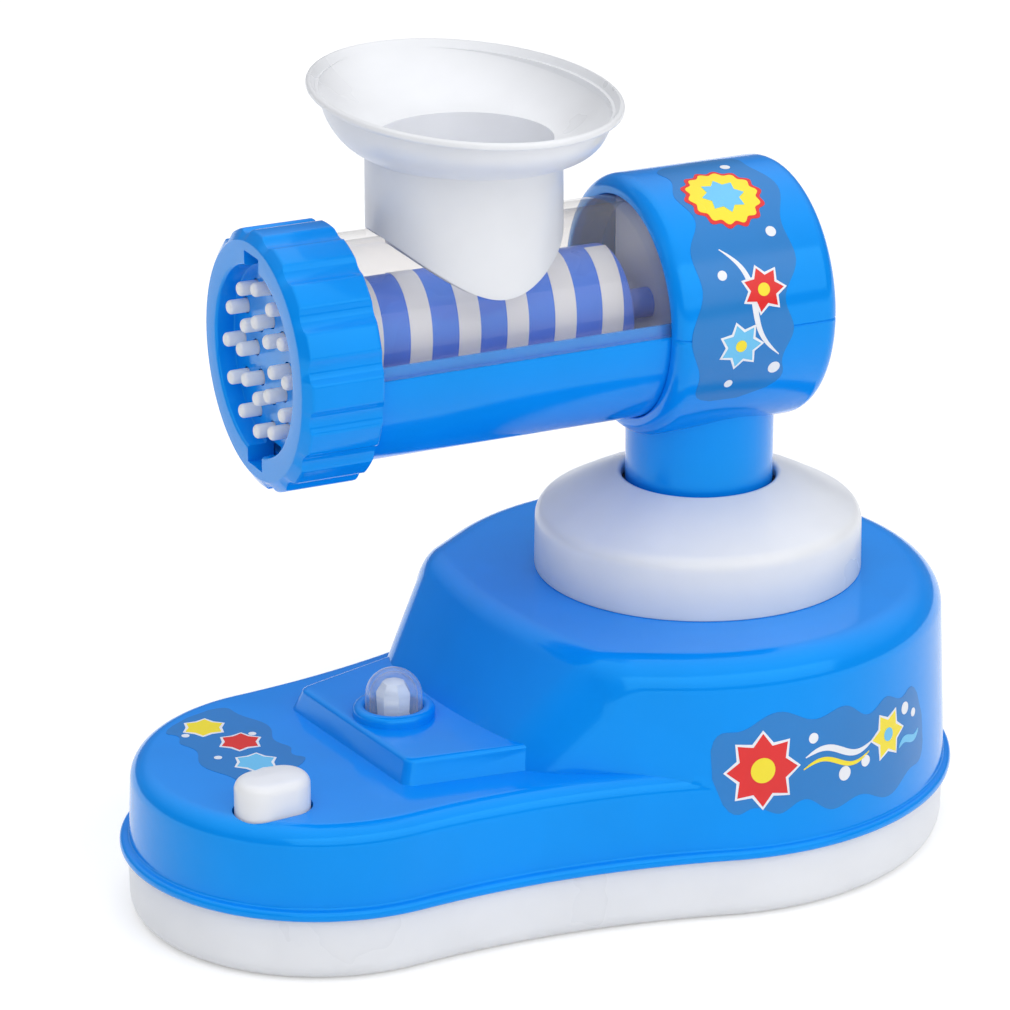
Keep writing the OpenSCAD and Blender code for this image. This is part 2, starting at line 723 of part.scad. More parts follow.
module lamp_lens() {
    color("lightcyan", 0.4) translate([lamp_x, 0, 0]) difference() {
        union() {
            translate([0, 0, lamp_foot_z]) cylinder(r = lamp_foot_r, h = lamp_foot_t);
            translate([0, 0, lamp_foot_z]) cylinder(r = lamp_r, h = lamp_center_z - lamp_foot_z);
            translate([0, 0, lamp_center_z]) sphere(r = lamp_r);
        }
        translate([0, 0, lamp_foot_z - 1])
            cylinder(r = lamp_r - lamp_wall, h = lamp_center_z - lamp_foot_z + 1);
        translate([0, 0, lamp_center_z]) sphere(r = lamp_r - lamp_wall);
    }
}

module lamp_led() {
    led_z = lamp_foot_z + 2;
    color("whitesmoke", 0.7) translate([lamp_x, 0, 0]) {
        translate([0, 0, led_z]) cylinder(r = led_r + 0.4, h = 1);
        translate([0, 0, led_z]) cylinder(r = led_r, h = 5.6);
        translate([0, 0, led_z + 5.6]) sphere(r = led_r);
        for (side = [-1, 1]) translate([side*1.27 - 0.25, -0.25, lamp_board_z + board_t])
            cube([0.5, 0.5, led_z - lamp_board_z - board_t + 0.5]);
    }
}

module lamp_holder() {
    color("white") translate([lamp_x, 0, lamp_board_z + board_t]) difference() {
        union() {
            cylinder(r = lamp_foot_r, h = lamp_foot_z - lamp_board_z - board_t);
            cylinder(r = lamp_r - lamp_wall - seat, h = lamp_foot_z - lamp_board_z - board_t + 1.8);
        }
        translate([0, 0, -1]) cylinder(r = led_r, h = far);
    }
}

module lamp_board() {
    color("darkgreen") difference() {
        translate([lamp_x - 8, -lamp_board_half, lamp_board_z]) cube([16, 2*lamp_board_half, board_t]);
        for (side = [-1, 1]) translate([lamp_x, side*lamp_screw_x, lamp_board_z - 1])
            cylinder(r = small_screw_r + hole_fit, h = board_t + 2, $fn = 32);
    }
}

module lamp_screws() {
    color("silver") for (side = [-1, 1]) translate([lamp_x, side*lamp_screw_x, lamp_board_z])
        screw(lamp_screw_len, small_screw_r, small_head_r, small_head_h);
}

module switch_body() {
    color("dimgray") difference() {
        translate([button_x - switch_w/2, button_y - switch_w/2, switch_top - switch_h])
            cube([switch_w, switch_w, switch_h]);
        translate([button_x, button_y, switch_top - plunger_depth - button_travel - 0.5])
            cylinder(r = plunger_r + run_fit, h = far, $fn = 32);
    }
}

module switch_board() {
    z = switch_top - switch_h - board_t;
    color("darkgreen") difference() {
        translate([button_x - board_w/2, button_y - board_edge, z]) cube([board_w, board_len, board_t]);
        for (y = board_screws) translate([button_x, button_y + y, z - 1])
            cylinder(r = small_screw_r + hole_fit, h = board_t + 2, $fn = 32);
    }
}

module switch_screws() {
    color("silver") for (y = board_screws)
        translate([button_x, button_y + y, switch_top - switch_h - board_t])
        screw(board_screw_len, small_screw_r, small_head_r, small_head_h);
}

module push_button() {
    round_r = 2;
    color("white") translate([button_x, button_y, 0]) {
        translate([0, 0, button_foot]) linear_extrude(deck_z + button_h - round_r - button_foot)
            slot_plan(button_len, button_w);
        translate([0, 0, deck_z + button_h - 2*round_r]) hull() for (side = [-1, 1])
            translate([side*(button_len - button_w)/2, 0, round_r])
            rotate_extrude($fn = 32) translate([button_w/2 - round_r, 0]) circle(r = round_r, $fn = 16);
        translate([button_flange_shift, button_flange_shift, button_foot]) linear_extrude(button_flange_t)
            slot_plan(button_len, button_w);
    }
}

module switch_plunger() {
    color("white") translate([button_x, button_y, switch_top - plunger_depth])
        cylinder(r = plunger_r, h = button_foot - switch_top + plunger_depth, $fn = 32);
}

module button_spring() {
    color("silver") translate([button_x, button_y, switch_top + seat])
        coil(button_spring_r, button_wire_r, button_foot - switch_top - 2*seat, 4);
}

// Housing of revolution about the barrel axis, split later into two halves; g sets it in
module housing_block(g) {
    front = -housing_front + g;
    back = housing_back - g;
    r = housing_r - g;
    round_r = max(housing_round - g, 0.5);
    rotate([0, 90, 0]) rotate_extrude()
        polygon(concat([[0, front]], rounded([0, front], [r, front], [r, back], round_r),
            rounded([r, front], [r, back], [0, back], round_r), [[0, back]]));
}

// Shell of the housing with the opening for the barrel
module housing_shell() {
    difference() {
        housing_block(0);
        housing_block(housing_t);
        bar(barrel_r + seat, -housing_front - 1, 0);
    }
}

// Lip of the trough that stands up inside the window, from z0 to z1
module trough_lip(z0, z1, out_r) {
    intersection() {
        difference() {
            bar(out_r, x_barrel_front, x_barrel_rear);
            bar(barrel_in_r - lip_t, x_barrel_front - 1, x_barrel_rear + 1);
        }
        translate([-far/2, -far/2, z0]) cube([far, far, z1 - z0]);
    }
}

// Keeps what lies above (1) or below (-1) the barrel axis
module half_space(side) {
    translate([-far/2, -far/2, side > 0 ? 0 : -far]) cube(far);
}

module head_lower() {
    color("dodgerblue") on_head() difference() {
        union() {
            difference() {
                union() {
                    intersection() {
                        housing_shell();
                        half_space(-1);
                    }
                    intersection() {
                        union() {
                            bar(barrel_r, x_barrel_front, x_barrel_rear);
                            bar(barrel_r + bite, housing_t/2 - housing_front, x_barrel_rear);
                        }
                        half_space(-1);
                    }
                }
                bar(barrel_in_r, x_barrel_front - 1, x_barrel_rear + 1);
            }
            difference() {
                translate([0, 0, neck_bottom]) cylinder(r = neck_r, h = -neck_bottom);
                translate([0, 0, neck_bottom + 3]) cylinder(r = neck_r - neck_wall, h = far);
                housing_block(housing_t);
            }
            translate([0, 0, journal_bottom]) cylinder(r = journal_r, h = neck_bottom - journal_bottom + 1);
            trough_lip(-lip_root, 0, barrel_in_r + bite);
            trough_lip(-bite, lip_h, barrel_in_r - seat);
            for (x = [-1, 1]) for (y = [-1, 1]) intersection() {
                translate([x*housing_screw_x, y*housing_screw_y, -housing_r])
                    cylinder(r = boss_r, h = housing_r);
                housing_block(housing_t/2);
            }
        }
        translate([0, 0, journal_bottom - 1])
            cylinder(r = journal_bore_r, h = 1 - journal_bottom - housing_in_r + lead_way);
        for (a = collar_screw_angles) rotate(a)
            translate([(journal_r + journal_bore_r)/2, 0, journal_bottom - 1])
            cylinder(r = small_screw_r + thread_fit, h = retainer_screw_len + 1, $fn = 32);
        for (x = [-1, 1]) for (y = [-1, 1])
            translate([x*housing_screw_x, y*housing_screw_y, -housing_r - 1]) {
            cylinder(r = screw_r + hole_fit, h = housing_r + 2, $fn = 32);
            cylinder(r = screw_head_r + head_fit, h = housing_r + 1 - housing_screw_sink, $fn = 32);
        }
    }
}

module head_upper() {
    color("dodgerblue") on_head() difference() {
        union() {
            intersection() {
                housing_shell();
                half_space(1);
            }
            for (x = [-1, 1]) for (y = [-1, 1]) intersection() {
                translate([x*housing_screw_x, y*housing_screw_y, 0]) cylinder(r = boss_r, h = housing_r);
                housing_block(housing_t/2);
            }
        }
        for (x = [-1, 1]) for (y = [-1, 1]) translate([x*housing_screw_x, y*housing_screw_y, -1])
            cylinder(r = screw_r + thread_fit, h = housing_screw_len - housing_screw_sink + 2, $fn = 32);
    }
}

module housing_screws() {
    color("silver") on_head() for (x = [-1, 1]) for (y = [-1, 1])
        translate([x*housing_screw_x, y*housing_screw_y, -housing_screw_sink])
        screw(housing_screw_len, screw_r, screw_head_r, screw_head_h);
}

module barrel_window() {
    color("lightgray", 0.35) on_head() difference() {
        intersection() {
            bar(barrel_r, x_barrel_front, x_barrel_rear);
            half_space(1);
        }
        bar(barrel_in_r, x_barrel_front - 1, x_barrel_rear + 1);
        translate([-chute_reach, 0, 0]) cylinder(r = window_hole_r, h = far);
    }
}

// Spots of the pins in the plane of the plate
pin_spots = concat(
    [for (i = [0:outer_pins - 1]) outer_ring_r*[cos(360*i/outer_pins), sin(360*i/outer_pins)]],
    [for (i = [0:inner_pins - 1]) inner_ring_r*[cos(360*i/inner_pins), sin(360*i/inner_pins)]]);

module front_cap() {
    chamfer = 2.2;
    flute_r = 3.4;
    color("dodgerblue") on_head() difference() {
        union() {
            difference() {
                rotate([0, 90, 0]) rotate_extrude()
                    polygon([[0, x_cap_front], [cap_r - chamfer, x_cap_front],
                    [cap_r, x_cap_front + chamfer*0.7], [cap_r, x_cap_rear - 0.6],
                    [cap_r - 0.6, x_cap_rear], [0, x_cap_rear]]);
                bar(cap_lip_r, x_cap_front - 1, x_plate_front);
                bar(barrel_r + seat, x_plate_rear, x_cap_rear + 1);
                for (i = [0:cap_flutes - 1]) rotate([360*(i + 0.5)/cap_flutes, 0, 0])
                    translate([0, 0, cap_r + flute_r - flute_depth])
                        bar(flute_r, x_cap_front - 1, x_cap_rear + 1, 48);
            }
            bar(hub_r, x_plate_rear - bite, x_hub_rear);
        }
        for (spot = pin_spots) translate([0, spot[0], spot[1]])
            bar(pin_r + clear, x_cap_front, x_plate_rear + 0.5, 32);
        for (side = [-1, 1]) translate([x_cap_front - 1, -notch_half, side > 0 ? notch_in : -notch_out])
            cube([plate_recess + plate_t + 2, 2*notch_half, notch_out - notch_in]);
        bar(drum_pin_r + run_fit, x_plate_rear + 0.6, x_hub_rear + 1, 48);
    }
}

module neck_retainer() {
    color("gainsboro") on_head() difference() {
        translate([0, 0, journal_bottom - retainer_t]) cylinder(r = bearing_r, h = retainer_t);
        translate([0, 0, journal_bottom - retainer_t - 1]) cylinder(r = journal_bore_r, h = retainer_t + 2);
        for (a = collar_screw_angles) rotate(a)
            translate([(journal_r + journal_bore_r)/2, 0, journal_bottom - retainer_t - 1])
            cylinder(r = small_screw_r + hole_fit, h = retainer_t + 2, $fn = 32);
    }
}

module retainer_screws() {
    color("silver") on_head() for (a = collar_screw_angles) rotate(a)
        translate([(journal_r + journal_bore_r)/2, 0, journal_bottom - retainer_t])
        screw(retainer_screw_len, small_screw_r, small_head_r, small_head_h);
}

// Plate of the gearbox from x0, round above and below and straight beside the screw bosses
module gearbox_plate(x0) {
    intersection() {
        bar(gearbox_plate_r, x0, x0 + gearbox_t);
        translate([x0 - 1, -gearbox_half, -far/2]) cube([gearbox_t + 2, 2*gearbox_half, far]);
    }
}

module gearbox_front() {
    color("lightsteelblue") on_head() difference() {
        union() {
            gearbox_plate(x_front_plate);
            for (a = pillar_angles) rotate([a, 0, 0]) translate([0, pillar_ring, 0])
                bar(pillar_r, x_front_plate + gearbox_t/2, x_rear_plate, 32);
        }
        bar(drum_shaft_r + run_fit, x_front_plate - 1, x_front_plate + gearbox_t + 1);
        translate([0, 0, gear_c])
            bar(axle_r + 0.02, x_front_plate + 0.4, x_front_plate + gearbox_t + 1, 32);
        for (a = pillar_angles) rotate([a, 0, 0]) translate([0, pillar_ring, 0])
            bar(small_screw_r + thread_fit, x_rear_plate - gearbox_screw_len + 1, x_rear_plate + 1, 32);
    }
}

module gearbox_rear() {
    color("lightsteelblue") on_head() difference() {
        gearbox_plate(x_rear_plate);
        bar(motor_boss_r + seat, x_rear_plate - 1, x_motor + 1);
        translate([0, 0, gear_c]) bar(axle_r + 0.02, x_rear_plate - 1, x_motor + 1, 32);
        for (a = pillar_angles) rotate([a, 0, 0]) translate([0, pillar_ring, 0])
            bar(small_screw_r + hole_fit, x_rear_plate - 1, x_motor + 1, 32);
        for (side = [-1, 1]) translate([0, side*motor_screw_y, 0])
            bar(small_screw_r + hole_fit, x_rear_plate - 1, x_motor + 1, 32);
    }
}

module gearbox_screws() {
    color("silver") on_head() for (a = pillar_angles) rotate([a, 0, 0]) translate([x_motor, pillar_ring, 0])
        rotate([0, -90, 0]) screw(gearbox_screw_len, small_screw_r, small_head_r, small_head_h);
}

module gear_axle() {
    color("silver") on_head() translate([0, 0, gear_c]) bar(axle_r, x_front_plate + 0.6, x_motor - 0.2, 32);
}

module motor() {
    color("darkgray") on_head() difference() {
        union() {
            intersection() {
                bar(motor_r, x_motor, x_motor + motor_len);
                translate([x_motor - 1, -motor_r - 1, -motor_flats/2])
                    cube([motor_len + 2, 2*motor_r + 2, motor_flats]);
            }
            bar(motor_boss_r, x_rear_plate + 0.4, x_motor + 1, 48);
            for (side = [-1, 1]) translate([x_motor + motor_len - 0.5, side*motor_terminal_y - 0.2, -1])
                cube([1.6, 0.4, 2]);
        }
        bar(motor_shaft_r + run_fit, x_rear_plate, x_motor + 7, 32);
        for (side = [-1, 1]) translate([0, side*motor_screw_y, 0])
            bar(small_screw_r + thread_fit, x_motor - 1, x_motor + motor_screw_grip + 0.5, 32);
    }
}

module motor_screws() {
    color("silver") on_head() for (side = [-1, 1]) translate([x_rear_plate, side*motor_screw_y, 0])
        rotate([0, 90, 0]) screw(gearbox_t + motor_screw_grip, small_screw_r, small_head_r - 0.2, 0.4);
}

module auger_drum() {
    color("royalblue") on_head() difference() {
        union() {
            bar(drum_r, x_drum_front, x_drum_rear);
            bar(drum_pin_r, x_plate_rear + 1, x_drum_front + 1, 48);
            for (i = [0:cam_lobes - 1]) rotate([360*i/cam_lobes, 0, 0])
                translate([0, 0, (hub_hole_r + cup_r)/2])
                bar(cam_r, x_drum_front - cam_h, x_drum_front + 0.5, 32);
        }
        bar(drum_r - drum_t, x_drum_front + drum_t, x_drum_rear + 1);
    }
}

module drum_end() {
    color("royalblue") on_head() {
        bar(drum_r - drum_t - seat, x_drum_rear - 4, x_drum_rear);
        bar(drum_shaft_r, x_drum_rear - 1, x_drum_gear_end - 0.2, 64);
    }
}

module drum_gear() {
    color("white") on_head() difference() {
        gear(large_teeth, x_drum_gear, x_drum_gear_end);
        bar(drum_shaft_r + 0.02, x_drum_gear - 1, x_drum_gear_end + 1, 64);
    }
}

module reduction_gear() {
    color("white") on_head() translate([0, 0, gear_c]) difference() {
        union() {
            gear(small_teeth, x_drum_gear, x_wheel + 0.5);
            gear(large_teeth, x_wheel, x_wheel_end);
        }
        bar(axle_r + run_fit, x_drum_gear - 1, x_wheel_end + 1, 32);
    }
}

module motor_shaft() {
    color("silver") on_head() bar(motor_shaft_r, x_wheel + gear_gap, x_motor + 6, 32);
}

module motor_pinion() {
    color("goldenrod") on_head() difference() {
        gear(small_teeth, x_wheel + 0.1, x_wheel_end);
        bar(motor_shaft_r + 0.02, x_wheel - 1, x_wheel_end + 1, 32);
    }
}

module pin_plate() {
    x_tip = x_plate_front - pin_out;
    color("white") on_head() difference() {
        union() {
            bar(carrier_r, x_carrier_front, x_carrier_rear);
            bar(cup_r, x_carrier_front, x_cup_rear);
            for (spot = pin_spots) translate([0, spot[0], spot[1]]) {
                bar(pin_r, x_tip + pin_r, x_carrier_rear - 0.2, 32);
                translate([x_tip + pin_r, 0, 0]) sphere(r = pin_r, $fn = 32);
            }
        }
        bar(cup_r - cup_wall, x_carrier_front - 1, x_cup_rear - cup_floor);
        bar(hub_hole_r, x_carrier_front - 1, x_cup_rear + 1);
    }
}

module pin_spring() {
    wire_r = 0.3;
    color("silver") on_head() translate([x_plate_rear + seat, 0, 0]) rotate([0, 90, 0])
        coil(hub_r + 0.9, wire_r, x_cup_rear - cup_floor - x_plate_rear - 2*seat, 4);
}

// Point of the head frame in the frame of the part
function from_head(p) = [pivot_x + p[0]*cos(head_turn) + p[1]*sin(head_turn),
    p[1]*cos(head_turn) - p[0]*sin(head_turn), barrel_z + p[2]];

// Direction of a path at its point i, and the side vectors that follow the path without twist
function heading(path, i) = i == 0 ? unit(path[1] - path[0])
    : i == len(path) - 1 ? unit(path[i] - path[i - 1])
    : unit(unit(path[i + 1] - path[i]) + unit(path[i] - path[i - 1]));
function sides_along(path, i, u) = i == len(path) ? []
    : let (t = heading(path, i), w = unit(u - (u*t)*t)) concat([w], sides_along(path, i + 1, w));

// Insulated lead through the points of a path
module lead(path) {
    sides = sides_along(path, 0, [0, 0.6, 0.8]);
    loft([for (i = [0:len(path) - 1]) let (u = sides[i], v = cross(heading(path, i), u))
        [for (k = [0:7]) path[i] + lead_r*(cos(45*k)*u + sin(45*k)*v)]]);
}

module battery_leads() {
    lane_y = bay_half_y + bay_t + 3;
    color("firebrick") lead([[tab_x, cell_pitch/2, tab_top], [tab_x + 4, cell_pitch/2, tab_top],
        [tab_x + 4, lane_y, tab_top + 2],
        [bay_x - bay_half_x - 2, lane_y, tab_top + 2], [board_lead_x, board_lead_y, board_top]]);
}

module lamp_leads() {
    color("dimgray") for (y = [-2.5, 0.5])
        lead([[board_lead_x, y, board_top], [board_lead_x + 9, y, bay_top + bay_t + 2],
            [lamp_x - 12, y, lamp_board_z - 2], [lamp_x - 6, y, lamp_board_z - lead_r - 0.05]]);
}

module motor_leads() {
    terminal_x = x_motor + motor_len + lead_r + 0.2;
    terminal_y = motor_terminal_y + lead_r + 0.25;
    starts = [[[tab_x, -cell_pitch/2, tab_top], [tab_x + 6, -cell_pitch/2, tab_top]],
        [[board_lead_x, 4, board_top], [board_lead_x + 9, 4, bay_top + bay_t + 2],
            [tab_x, 4, bay_top + bay_t + 2]]];
    color("black") for (i = [0, 1]) let (side = 2*i - 1)
        lead(concat(starts[i], [from_head([-3, side*2.5, journal_bottom - 12]),
            from_head([-3, side*2.5, neck_bottom + 14]),
            from_head([4, side*4, lead_way/2 - housing_in_r]),
            from_head([terminal_x, side*terminal_y, -motor_flats/2 - 6]),
            from_head([terminal_x, side*terminal_y, -0.5])]));
}

// Height of the barrel surface of radius seat_r under a point of the chute
function saddle(seat_r, y) = sqrt(seat_r*seat_r - y*y);
function round_ring(r, z) = [for (i = [0:hopper_sides - 1]) let (a = 360*i/hopper_sides)
    [r*cos(a), r*sin(a), z]];
function saddle_ring(r, seat_r) = [for (i = [0:hopper_sides - 1]) let (a = 360*i/hopper_sides)
    [r*cos(a), r*sin(a), saddle(seat_r, r*sin(a))]];
function oval_ring(half_x, half_y, z) = [for (i = [0:hopper_sides - 1]) let (a = 360*i/hopper_sides)
    [half_x*cos(a), half_y*sin(a), z]];

module hopper() {
    rim = rim_z - barrel_z;
    foot = dish_z - barrel_z;
    rim_t = 1.4;
    rim_edge = 0.9;
    inside_r = chute_r - hopper_t;
    wall_x = rim_half_x - rim_out;
    wall_y = rim_half_y - rim_out;
    dish_h = rim - rim_t - foot;
    steps = 5;
    outside = [for (i = [0:steps]) let (s = sin(90*i/steps), h = 1 - cos(90*i/steps))
        oval_ring(chute_r + (wall_x - chute_r)*s, chute_r + (wall_y - chute_r)*s, foot + dish_h*h)];
    inside = [for (i = [steps:-1:0]) let (t = i/steps)
        oval_ring(inside_r + (rim_half_x - rim_edge - inside_r)*t,
            inside_r + (rim_half_y - rim_edge - inside_r)*t,
            foot + hopper_t + (dish_h + rim_t - hopper_t)*t*t)];
    rim_rings = [oval_ring(rim_half_x - 0.4, rim_half_y - 0.4, rim - rim_t),
        oval_ring(rim_half_x, rim_half_y, rim - rim_t/2),
        oval_ring(rim_half_x - 0.4, rim_half_y - 0.4, rim)];
    color("white") on_head() translate([-chute_reach, 0, 0])
        loop_loft(concat([saddle_ring(chute_r, hopper_seat_r)],
        outside, rim_rings, inside, [round_ring(inside_r, foot),
            round_ring(spigot_r - spigot_t, hopper_seat_r + 3),
        saddle_ring(spigot_r - spigot_t, spigot_seat_r), saddle_ring(spigot_r, spigot_seat_r),
        saddle_ring(spigot_r, hopper_seat_r)]));
}

base_tray();
base_shell();
base_screws();
battery_door();
battery_door_screw();
battery_cells();
battery_contacts();
contact_springs();
swivel_collar();
collar_screws();
lamp_lens();
lamp_led();
lamp_holder();
lamp_board();
lamp_screws();
switch_body();
switch_board();
switch_screws();
push_button();
switch_plunger();
button_spring();
head_lower();
head_upper();
housing_screws();
barrel_window();
front_cap();
neck_retainer();
retainer_screws();
gearbox_front();
gearbox_rear();
gearbox_screws();
gear_axle();
motor();
motor_screws();
auger_drum();
drum_end();
drum_gear();
reduction_gear();
motor_shaft();
motor_pinion();
pin_plate();
pin_spring();
hopper();
battery_leads();
lamp_leads();
motor_leads();
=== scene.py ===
import json
from math import acos, asin, atan2, cos, hypot, pi, radians, sin, sqrt, tan

import bmesh
import bpy
from mathutils import Matrix, Vector


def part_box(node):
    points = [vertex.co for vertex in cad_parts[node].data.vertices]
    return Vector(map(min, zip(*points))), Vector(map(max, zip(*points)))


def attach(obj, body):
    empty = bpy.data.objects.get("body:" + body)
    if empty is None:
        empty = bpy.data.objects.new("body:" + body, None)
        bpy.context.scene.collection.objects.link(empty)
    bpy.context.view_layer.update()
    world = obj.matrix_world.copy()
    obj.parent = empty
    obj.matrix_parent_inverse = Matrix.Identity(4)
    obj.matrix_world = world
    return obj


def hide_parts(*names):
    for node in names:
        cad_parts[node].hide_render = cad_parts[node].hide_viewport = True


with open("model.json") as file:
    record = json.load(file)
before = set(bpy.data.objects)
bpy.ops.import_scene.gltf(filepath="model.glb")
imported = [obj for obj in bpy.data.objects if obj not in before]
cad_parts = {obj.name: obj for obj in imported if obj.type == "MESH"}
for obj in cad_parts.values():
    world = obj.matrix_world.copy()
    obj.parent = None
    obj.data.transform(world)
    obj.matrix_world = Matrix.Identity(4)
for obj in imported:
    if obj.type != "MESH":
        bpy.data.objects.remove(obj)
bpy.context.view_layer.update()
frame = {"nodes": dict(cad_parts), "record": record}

# Driving sizes in millimetres, in the part's own frame
MM = 0.001
HEEL_R = 55.9
TOE_R = 39.9
HEEL_TO_TOE = 83.5
FLANK_R = 166
TRAY_H = 13.6
FLANGE_T = 2
FLANGE_OUT = 1.8
WALL_FOOT = 0.8
HEEL_STEP = 0.4
DECK_Z = 31.7
HEEL_Z = 54.3
EDGE_R = 6.5
DECK_EDGE_R = 4
TRAY_EDGE_R = 4
TRAY_HOLE_R = 3
DOOR_GAP = 0.2
SHELL_T = 2
FLOOR_T = 1.8
HEEL_LEAN = 1.7
RAMP_R = 140
RAMP_AHEAD = 64
NOSE_R = 35.5
NOSE_AHEAD = 38.8
RAMP_ANGLE = radians(56)
PLATEAU_Z = 36.4
PLATEAU_HALF_FRONT = 21.5
PLATEAU_HALF_BACK = 27.5
PLATEAU_LEN = 16.5
PLATEAU_SLOPE = 1.6
PLATEAU_TAIL = 10
PLATEAU_CORNER_R = 2.6
PLATEAU_EDGE_R = 0.9
BUTTON_AHEAD = 20.8
BUTTON_Y = -18.2
BUTTON_LEN = 15.2
BUTTON_W = 10.6
BUTTON_H = 7
BUTTON_EDGE_R = 2.2
LAMP_SET = 9.2
LAMP_R = 5.7
LAMP_WALL = 0.9
LAMP_COLLAR_R = 8.2
LAMP_COLLAR_H = 2.2
LED_R = 3.2
LED_BRIM = 0.4
LED_FACETS = 7
PIVOT_BACK = 4.3
HEAD_TURN = 5.5
COLLAR_R = 33
COLLAR_WALL_H = 12.2
COLLAR_H = 20.3
NECK_R = 14.9
NECK_WALL = 2.2
NECK_BORE_R = 8
COLLAR_GAP = 0.7
JOURNAL_R = 12.4
BARREL_Z = 111.5
BARREL_R = 22.2
BARREL_T = 1.8
CAP_REACH = 96.8
CAP_LEN = 16.3
CAP_R = 25.6
CAP_FLUTES = 16
FLUTE_R = 3.4
FLUTE_DEPTH = 1.1
PLATE_RECESS = 4
PLATE_T = 1.5
CAP_LIP_R = 18.6
CAP_BEVEL = 2.2
CAP_BEVEL_LEN = 1.54
SLOT_HALF = 3.5
SLOT_IN = 16.8
SLOT_H = 4.6
HOUSING_R = 26.2
HOUSING_FRONT = 18.4
HOUSING_BACK = 17.3
BARREL_IN_HOUSING = 6
DRUM_R = 13
DRUM_GAP = 2.9
DRUM_DISH_R = 11.6
DRUM_DISH = 0.6
OUTER_PINS = 12
INNER_PINS = 8
OUTER_RING_R = 14.3
INNER_RING_R = 7.7
PIN_R = 1.4
PIN_OUT = 4
PIN_STROKE = 2
CARRIER_T = 1.6
CUP_R = 5.9
CUP_IN_R = 3.3
CHUTE_REACH = 52.1
CHUTE_R = 19.2
RIM_Z = 160
DISH_Z = 148.6
RIM_HALF_Y = 39.4
RIM_HALF_X = 28.3
RIM_OUT = 2.4
RIM_T = 1.4
RIM_EDGE = 0.9
HOPPER_T = 1.8
SPIGOT_SET = 3.9
SPIGOT_T = 1.5
CLEAR = 0.3
SEAT = 0.1

STRIPE_PITCH = 10.25
STRIPE_HALF = 2.3
STRIPE_X = -45.85
STRIPE_ANGLE = radians(141.3)

# Places that follow from the sizes
HEEL_X = (HEEL_TO_TOE + TOE_R - HEEL_R)/2
TOE_X = HEEL_X - HEEL_TO_TOE
PIVOT_X = HEEL_X + PIVOT_BACK
FLANK_DX = ((HEEL_R + FLANK_R)**2 - (TOE_R + FLANK_R)**2 + HEEL_TO_TOE**2)/(2*HEEL_TO_TOE)
FLANK_X = HEEL_X - FLANK_DX
FLANK_Y = sqrt((HEEL_R + FLANK_R)**2 - FLANK_DX**2)
HEEL_ANGLE = atan2(FLANK_Y, FLANK_X - HEEL_X)
TOE_ANGLE = atan2(FLANK_Y, FLANK_X - TOE_X)
RAMP_FOOT = PIVOT_X - RAMP_AHEAD
RAMP_X = RAMP_FOOT + RAMP_R
PLATEAU_FRONT = RAMP_FOOT - PLATEAU_LEN
NOSE_X = HEEL_X - NOSE_AHEAD
NOSE_ANGLE = pi - acos((HEEL_R - NOSE_R)/NOSE_AHEAD)
LAMP_X = PLATEAU_FRONT + LAMP_SET
LAMP_TOP_Z = PLATEAU_Z + LAMP_COLLAR_H
LAMP_CENTRE_Z = LAMP_TOP_Z + 1.7
BUTTON_X = TOE_X - BUTTON_AHEAD
TRAY_HOLES = [(TOE_X - TOE_R + 9.6, 0), (TOE_X + 14, 31), (TOE_X + 14, -31), (HEEL_X + HEEL_R - 14, 0)]
COLLAR_HOLE_R = NECK_R + COLLAR_GAP
X_CAP_FRONT = -CAP_REACH
X_CAP_REAR = X_CAP_FRONT + CAP_LEN
X_PLATE_FRONT = X_CAP_FRONT + PLATE_RECESS
X_PLATE_REAR = X_PLATE_FRONT + PLATE_T
X_BARREL_FRONT = X_PLATE_REAR + 0.4
X_BARREL_REAR = -HOUSING_FRONT + BARREL_IN_HOUSING
BARREL_IN_R = BARREL_R - BARREL_T
HOUSING_IN_R = HOUSING_R - SHELL_T
X_CARRIER = X_PLATE_REAR + CLEAR
X_CUP_REAR = X_CARRIER + CARRIER_T + 4
X_DRUM_FRONT = X_CUP_REAR + PIN_STROKE + CLEAR + 1.1
X_DRUM_REAR = -HOUSING_FRONT - DRUM_GAP
HEAD_PLACE = Matrix.Translation((PIVOT_X, 0, BARREL_Z)) @ Matrix.Rotation(radians(-HEAD_TURN), 4, "Z")
CHUTE_PLACE = HEAD_PLACE @ Matrix.Translation((-CHUTE_REACH, 0, 0))
STILL = Matrix.Identity(4)


# Meshes

def finish_mesh(obj, angle=32):
    """Welds points, turns the faces outward and smooths all edges flatter than the angle."""
    work = bmesh.new()
    work.from_mesh(obj.data)
    bmesh.ops.remove_doubles(work, verts=work.verts, dist=2e-6)
    bmesh.ops.dissolve_degenerate(work, edges=work.edges, dist=1e-7)
    bmesh.ops.recalc_face_normals(work, faces=work.faces)
    work.to_mesh(obj.data)
    work.free()
    obj.data.shade_smooth()
    obj.data.set_sharp_from_angle(angle=radians(angle))


def new_object(name, verts, faces, place=STILL):
    """Object from points in millimetres, set in the part's frame."""
    mesh = bpy.data.meshes.new(name)
    mesh.from_pydata([tuple(MM*(place @ Vector(v))) for v in verts], [], faces)
    obj = bpy.data.objects.new(name, mesh)
    bpy.context.collection.objects.link(obj)
    finish_mesh(obj)
    return obj


def skin(rings, wrap=True, closed=False):
    """Points and quads through rings of equal length; closed joins the last ring to the first."""
    n = len(rings[0])
    faces = []
    for j in range(len(rings) if closed else len(rings) - 1):
        k = (j + 1) % len(rings)
        for i in range(n if wrap else n - 1):
            m = (i + 1) % n
            faces.append((j*n + i, j*n + m, k*n + m, k*n + i))
    return [p for ring in rings for p in ring], faces


def capped(rings):
    """Points and faces through flat rings, with both ends closed."""
    verts, faces = skin(rings)
    n = len(rings[0])
    return verts, faces + [tuple(range(n)), tuple(len(verts) - n + i for i in range(n))]


